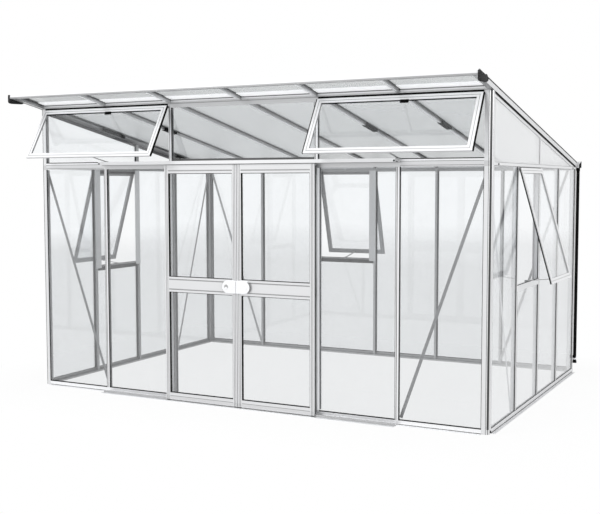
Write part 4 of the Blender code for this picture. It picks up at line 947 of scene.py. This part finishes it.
# %% Strips over and under the windows
window_low, window_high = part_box("right_window_frame")
WINDOW_TOP, WINDOW_FOOT = SIDE_HINGE + 0.0045, window_low.z
over_window = block((0.0004, 0.0034), (WINDOW_TOP, WINDOW_TOP + 0.004))
under_window = block((-0.0006, 0.0026), (WINDOW_FOOT, WINDOW_FOOT + 0.0040))
hinges = [strips(profile, (side * HALF_WIDTH, window_low.y, 0), (side * HALF_WIDTH, window_high.y, 0),
                 side * X, Z) for profile in (over_window, under_window) for side in (-1, 1)]
back_low, back_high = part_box("back_window_frame")
over_back = block((0.0004, 0.0034), (BACK_HINGE + 0.0045, BACK_HINGE + 0.0085))
hinges += [strips(profile, (back_low.x, BACK, 0), (back_high.x, BACK, 0), Y, Z)
           for profile in (over_back, under_window)]
piece("window_seals", hinges, black_rubber)

# %% [markdown]
# ## Plates, lips and bolts
# Flat plates stiffen the bars beside each window, the front posts have a lip behind the glass and the braces
# a folded flange. The bars are held to the sill and to the rail over them by bolts whose hexagon heads face
# the room. A head is a profile of radius and height turned round its axis with only six corners, over a
# washer with twelve.

# %% Plates beside the windows
PLATE = block((0.0364, 0.0388), (-0.055, 0.012))


def jamb_plates():
    """Plates 55 mm wide behind the two bars of each window, from the window's sill to the rail over it."""
    low, high = WINDOW_FOOT - 0.02, BACK_TOP + 0.010
    made = []
    for place, along, inward, (first, last) in (
        ((0, BACK, 0), X, -Y, (BAR_LINES[1], BAR_LINES[2])),
        ((HALF_WIDTH, 0, 0), Y, -X, (SIDE_LINES[0], SIDE_LINES[1])),
        ((-HALF_WIDTH, 0, 0), Y, X, (SIDE_LINES[0], SIDE_LINES[1])),
    ):
        for line, turned_to in ((first, -1), (last, 1)):
            base = np.asarray(place, float) + line * along
            made.append(strips(PLATE, base + low * Z, base + high * Z, inward, turned_to * along))
    return made


piece("jamb_plates", jamb_plates(), dull_aluminium)

# %% Lips of the front posts and flanges of the braces
LIP_FACE = post_edge - 0.0002
lip = block((0.0, 0.0020), (0.0088, 0.0360))
LIP_RUNS = ((0.047, TRANSOM_LOW - 0.003), (TRANSOM_TOP + 0.002, FRONT_TOP - HEAD_RAIL))
lips = [strips(lip, (side * LIP_FACE, 0, low), (side * LIP_FACE, 0, high), -side * X, Y)
        for side in (-1, 1) for low, high in LIP_RUNS]
piece("post_lips", lips, shade_aluminium)
brace_low, brace_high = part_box("front_left_brace")
FLANGE = block((0.0096, 0.0112), (brace_high.y - 0.0002, brace_high.y + 0.0170))
flanges = []
for side in (-1, 1):
    low = np.array((side * (abs(brace_high.x) + 0.010), 0, brace_low.z + 0.010))
    high = np.array((side * (abs(brace_low.x) - 0.010), 0, brace_high.z - 0.010))
    along = (high - low) / np.linalg.norm(high - low)
    flanges.append(strips(FLANGE, low + along * 0.02, high - along * 0.03, np.cross(along, Y), Y))
piece("brace_flanges", flanges, shade_aluminium)

# %% Bolts inside
WASHER = [(0.0062, 0.0), (0.0066, 0.0002), (0.0066, 0.0009), (0.0060, 0.0012)]
HEAD = [(0.0048, 0.0010), (0.0050, 0.0014), (0.0050, 0.0040), (0.0042, 0.0048)]


def bolts(centres, axis):
    """Washers and hexagon heads on a face, each a skin of all the centres at once."""
    return [turned(WASHER, centres, axis, 12), turned(HEAD, centres, axis, 6)]


inside = []
BAR_FOOT, PLATE_FACE, PLATE_IN = 0.0364, 0.0390, 0.016
heights = (0.052, TRANSOM_LOW - 0.022)
PLATE_HEIGHTS = (1.70, 1.66, 1.60, 1.17, 1.14)
inside += bolts([(x, FRONT + BAR_FOOT, z) for x in (BAR_LINES[0], BAR_LINES[4]) for z in heights], Y)
inside += bolts([(x, BACK - BAR_FOOT, z) for x in BAR_LINES[[0, 3, 4]] for z in heights], -Y)
side_plates = SIDE_LINES[0] + PLATE_IN, SIDE_LINES[1] - PLATE_IN
for side in (-1, 1):
    inside += bolts([(side * (HALF_WIDTH - BAR_FOOT), SIDE_LINES[2], z) for z in heights], -side * X)
    inside += bolts([(side * (HALF_WIDTH - PLATE_FACE), y, z) for y in side_plates for z in PLATE_HEIGHTS],
                    -side * X)
back_plates = BAR_LINES[1] + PLATE_IN, BAR_LINES[2] - PLATE_IN
inside += bolts([(x, BACK - PLATE_FACE, z) for x in back_plates for z in PLATE_HEIGHTS], -Y)
inside += bolts([((BAR_LINES[1] + BAR_LINES[2]) / 2, BACK - 0.0382, EAVE - 0.004)], -Y)
piece("inner_bolts", inside, dull_aluminium, crease=40)

# %% Bolts outside: at the track's ends, on the side rails and at the posts' feet
outside = bolts([(side * (TRACK_END - 0.008), -0.0752, TRANSOM_TOP - 0.010) for side in (-1, 1)], -Y)
for side in (-1, 1):
    outside += bolts([(side * HALF_WIDTH, y, SIDE_TOP + 0.012) for y in (FRONT + 0.150, BACK - 0.150)],
                     side * X)
FOOT_BOLT = [(0.0085, 0.0), (0.0085, 0.0040), (0.0070, 0.0052)]
outside += [turned(FOOT_BOLT, (side * HALF_WIDTH, 0.036, 0.0160), side * X, 6) for side in (-1, 1)]
piece("outer_bolts", outside, black_rubber, crease=40)

# %% [markdown]
# ## Clips, brackets and plugs
# Black plastic clips sit on the rafters behind the vents, a bracket holds each vent's pane at the top, and
# plugs close the open ends of the gutter and of the door track. A clip is two cheeks and a floor carried
# along the rafter, and a plug is the outline of what it closes. A collar or a ring is a profile of radius and
# height turned round its axis.

# %% Clips on the rafters
CLIP = [(0.0108, -0.0002), (0.0200, -0.0002), (0.0210, 0.0030), (0.0210, 0.0170), (0.0195, 0.0200),
        (0.0108, 0.0200)]
CLIP_RUNS = {BAR_LINES[0]: (0.80, 0.97), BAR_LINES[3]: (0.85, 1.06), BAR_LINES[4]: (0.84, 1.05)}
clips = [strips(CLIP, on_slope(x, low), on_slope(x, high), side * X, slope_up)
         for x, (low, high) in CLIP_RUNS.items() for side in (-1, 1)]
CLIP_FLOOR = block((-0.0200, 0.0200), (-0.0024, -0.0002))
clips += [strips(CLIP_FLOOR, on_slope(x, low), on_slope(x, high), X, slope_up)
          for x, (low, high) in CLIP_RUNS.items()]
SIDE_CLIP = [(-0.0490, -0.0040), (0.0020, -0.0040), (0.0020, -0.0004), (-0.0460, -0.0004), (-0.0460, 0.0200),
             (-0.0490, 0.0200)]
SIDE_CLIP_RUNS = ((0.74, 1.06), (1.88, 2.05))
clips += [strips(SIDE_CLIP, *(on_slope(side * HALF_WIDTH, y) for y in run), side * X, slope_up)
          for side in (-1, 1) for run in SIDE_CLIP_RUNS]
piece("rafter_clips", clips, pipe_black)

# %% Brackets of the vents' panes
bracket = [(0.0355, 0.0100), (0.0355, 0.0156), (0.0385, 0.0162), (0.0590, 0.0150), (0.0600, 0.0100)]
brackets = []
for name in ("left_vent", "right_vent"):
    top, across, fall, out, half, length = sash_frame(name + "_glass", *SASHES[name])
    brackets.append(strips(bracket, top + across * 0.030, top + across * 0.090, fall, out))
piece("vent_brackets", brackets, pipe_black)

# %% Plugs of the gutter and the track
gutter_low, gutter_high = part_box("gutter")
PLUG_THICK, GUTTER_STEP = 0.003, 0.027
plug = [(gutter_low.y, gutter_low.z), (gutter_high.y, gutter_low.z), (gutter_high.y, gutter_high.z),
        (gutter_high.y - 0.004, gutter_high.z), (gutter_low.y + 0.004, gutter_high.z - GUTTER_STEP),
        (gutter_low.y, gutter_high.z - GUTTER_STEP)]
plugs = [strips(plug, (side * gutter_high.x, 0, 0), (side * (gutter_high.x + PLUG_THICK), 0, 0), Y, Z)
         for side in (-1, 1)]
track_low, track_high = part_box("door_top_track")
end = [(track_low.y, track_high.z - 0.0255), (track_low.y, track_high.z), (track_high.y, track_high.z),
       (track_high.y, track_low.z), (-0.027, track_low.z), (-0.027, track_high.z - 0.020),
       (track_low.y + 0.005, track_high.z - 0.020), (track_low.y + 0.005, track_high.z - 0.0255)]
piece("gutter_plugs", plugs, pipe_black)
ends = [strips(end, (side * track_high.x, 0, 0), (side * (track_high.x + PLUG_THICK), 0, 0), Y, Z)
        for side in (-1, 1)]
piece("track_plugs", ends, pale_rubber)

# %% Collars of the downpipe and rings of the handle
pipe_high, PIPE_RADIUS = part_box("downpipe")[1], 0.014
pipe_at = (pipe_high.x - PIPE_RADIUS, pipe_high.y - PIPE_RADIUS, 0)
collar = [(0.0142, 0.1010), (0.0158, 0.1014), (0.0158, 0.1250), (0.0142, 0.1254)]
shoe = [(0.0142, 0.0705), (0.0172, 0.0710), (0.0172, 0.0860), (0.0142, 0.0930)]
neck = [(0.0142, 1.7600), (0.0165, 1.7640), (0.0165, 1.7850), (0.0142, 1.7855)]
piece("pipe_band", [turned(collar, pipe_at, Z, 24)], plain_white, crease=40)
piece("pipe_collars", [turned(shoe, pipe_at, Z, 24), turned(neck, pipe_at, Z, 24)], pipe_black, crease=40)
RING = [(0.0165, 0.0), (0.0163, 0.0012), (0.0155, 0.0018), (0.0145, 0.0018), (0.0138, 0.0006),
        (0.0130, 0.0005)]
RING_OUT, RING_FACE, RING_HEIGHT = 0.080, -0.0802, 0.900
# The left ring is pale grey and paints the shadow round the lock; the right one is white like the handle.
for side, name, finish in ((-1, "left", pale_rubber), (1, "right", handle_white)):
    ring = turned(RING, (side * RING_OUT, RING_FACE, RING_HEIGHT), -Y, 28)
    piece(name + "_handle_ring", [ring], finish, body=name + "_door_leaf", crease=50)

# %% [markdown]
# ## Floor, world and lamps
# The photograph is a studio picture on white. A world of strength 1 is what the camera sees behind the glass,
# and a softer one lights the object. The floor is white to the camera as well, but part of its light is real,
# so the building still throws its faint shadows on it. Away from the building the floor is all white, or a
# horizon would show.

# %% The floor
def white_floor():
    """Paper that takes shadows, mixed with plain white. The white's share is higher for the rays that look at
    the floor, and it grows to all of it from 5 to 90 cm away from the walls."""
    f = Finish("studio_floor")
    x, y, z = f.place()
    soft = f.noise(f.point(x, y, z), 1.2, 2.0)
    paper = f.add("ShaderNodeBsdfDiffuse", None, {"Color": f.mix(soft, grey(0.83), grey(0.86))})
    glow = f.add("ShaderNodeEmission", None, {"Color": (1, 1, 1, 1), "Strength": 1.0})
    rays = [f.add("ShaderNodeLightPath", output=k) for k in range(12)]
    names = {ray.socket.name: ray for ray in rays}
    look = names["Is Camera Ray"].most(names["Is Glossy Ray"]).most(names["Is Transmission Ray"])
    away = (abs(x) - HALF_WIDTH).most(abs(y - BACK / 2) - BACK / 2).ramp(0.05, 0.90)
    share = 0.20 + look * (0.71 + away * 0.09)
    return f.surface(f.add("ShaderNodeMixShader", None, {0: share, 1: paper, 2: glow}))


FLOOR_SIZE = 60.0
floor_mesh = bpy.data.meshes.new("studio_floor")
corners = np.array([(-1, -1, 0), (1, -1, 0), (1, 1, 0), (-1, 1, 0)]) * FLOOR_SIZE
floor_mesh.from_pydata((corners - np.array((0, 0, 0.0005))).tolist(), [], [(0, 1, 2, 3)])
floor_mesh.materials.append(white_floor())
floor = bpy.data.objects.new("studio_floor", floor_mesh)
bpy.context.scene.collection.objects.link(floor)
floor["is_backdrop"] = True
print("floor", FLOOR_SIZE * 2, "m wide")

# %% The world
scene = bpy.context.scene
scene.view_settings.view_transform = "Standard"
scene.cycles.transparent_max_bounces = 60
scene.cycles.max_bounces = 10
WORLD_LIGHT = 0.66

world = bpy.data.worlds.new("studio")
world.use_nodes = True
scene.world = world
tree = world.node_tree
tree.nodes.clear()
light_path = tree.nodes.new("ShaderNodeLightPath")
sky = tree.nodes.new("ShaderNodeBackground")
backdrop = tree.nodes.new("ShaderNodeBackground")
chosen = tree.nodes.new("ShaderNodeMixShader")
out = tree.nodes.new("ShaderNodeOutputWorld")
shown = tree.nodes.new("ShaderNodeMath")
shown.operation = "MAXIMUM"
seen = tree.nodes.new("ShaderNodeMath")
seen.operation = "MAXIMUM"
sky.inputs["Color"].default_value = (1.0, 1.0, 1.0, 1.0)
sky.inputs["Strength"].default_value = WORLD_LIGHT
backdrop.inputs["Color"].default_value = (1.0, 1.0, 1.0, 1.0)
backdrop.inputs["Strength"].default_value = 1.0
tree.links.new(light_path.outputs["Is Camera Ray"], shown.inputs[0])
tree.links.new(light_path.outputs["Is Glossy Ray"], shown.inputs[1])
tree.links.new(shown.outputs[0], seen.inputs[0])
tree.links.new(light_path.outputs["Is Transmission Ray"], seen.inputs[1])
tree.links.new(seen.outputs[0], chosen.inputs[0])
tree.links.new(sky.outputs[0], chosen.inputs[1])
tree.links.new(backdrop.outputs[0], chosen.inputs[2])
tree.links.new(chosen.outputs[0], out.inputs[0])

# %% The lamps
def soft_lamp(name, place, target, size, power):
    """A square lamp that faces its target."""
    data = bpy.data.lights.new(name, "AREA")
    data.shape, data.size, data.energy = "SQUARE", size, power
    made = bpy.data.objects.new(name, data)
    scene.collection.objects.link(made)
    made.location = place
    made.rotation_euler = (Vector(target) - Vector(place)).to_track_quat("-Z", "Y").to_euler()
    return made


soft_lamp("key", (-4.5, -7.0, 7.0), (0, 1.0, 0.8), 4.0, 400)
soft_lamp("side", (8.0, -2.5, 5.5), (0, 1.2, 0.8), 5.0, 330)
print("lamps ready")

# %% [markdown]
# ## The size of the dressed model
# Dressing must not make the building bigger, so the box of the dressed model is printed.

# %% Write the sizes and finish
low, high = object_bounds()
print("dressed", [round(v, 3) for v in low], [round(v, 3) for v in high])
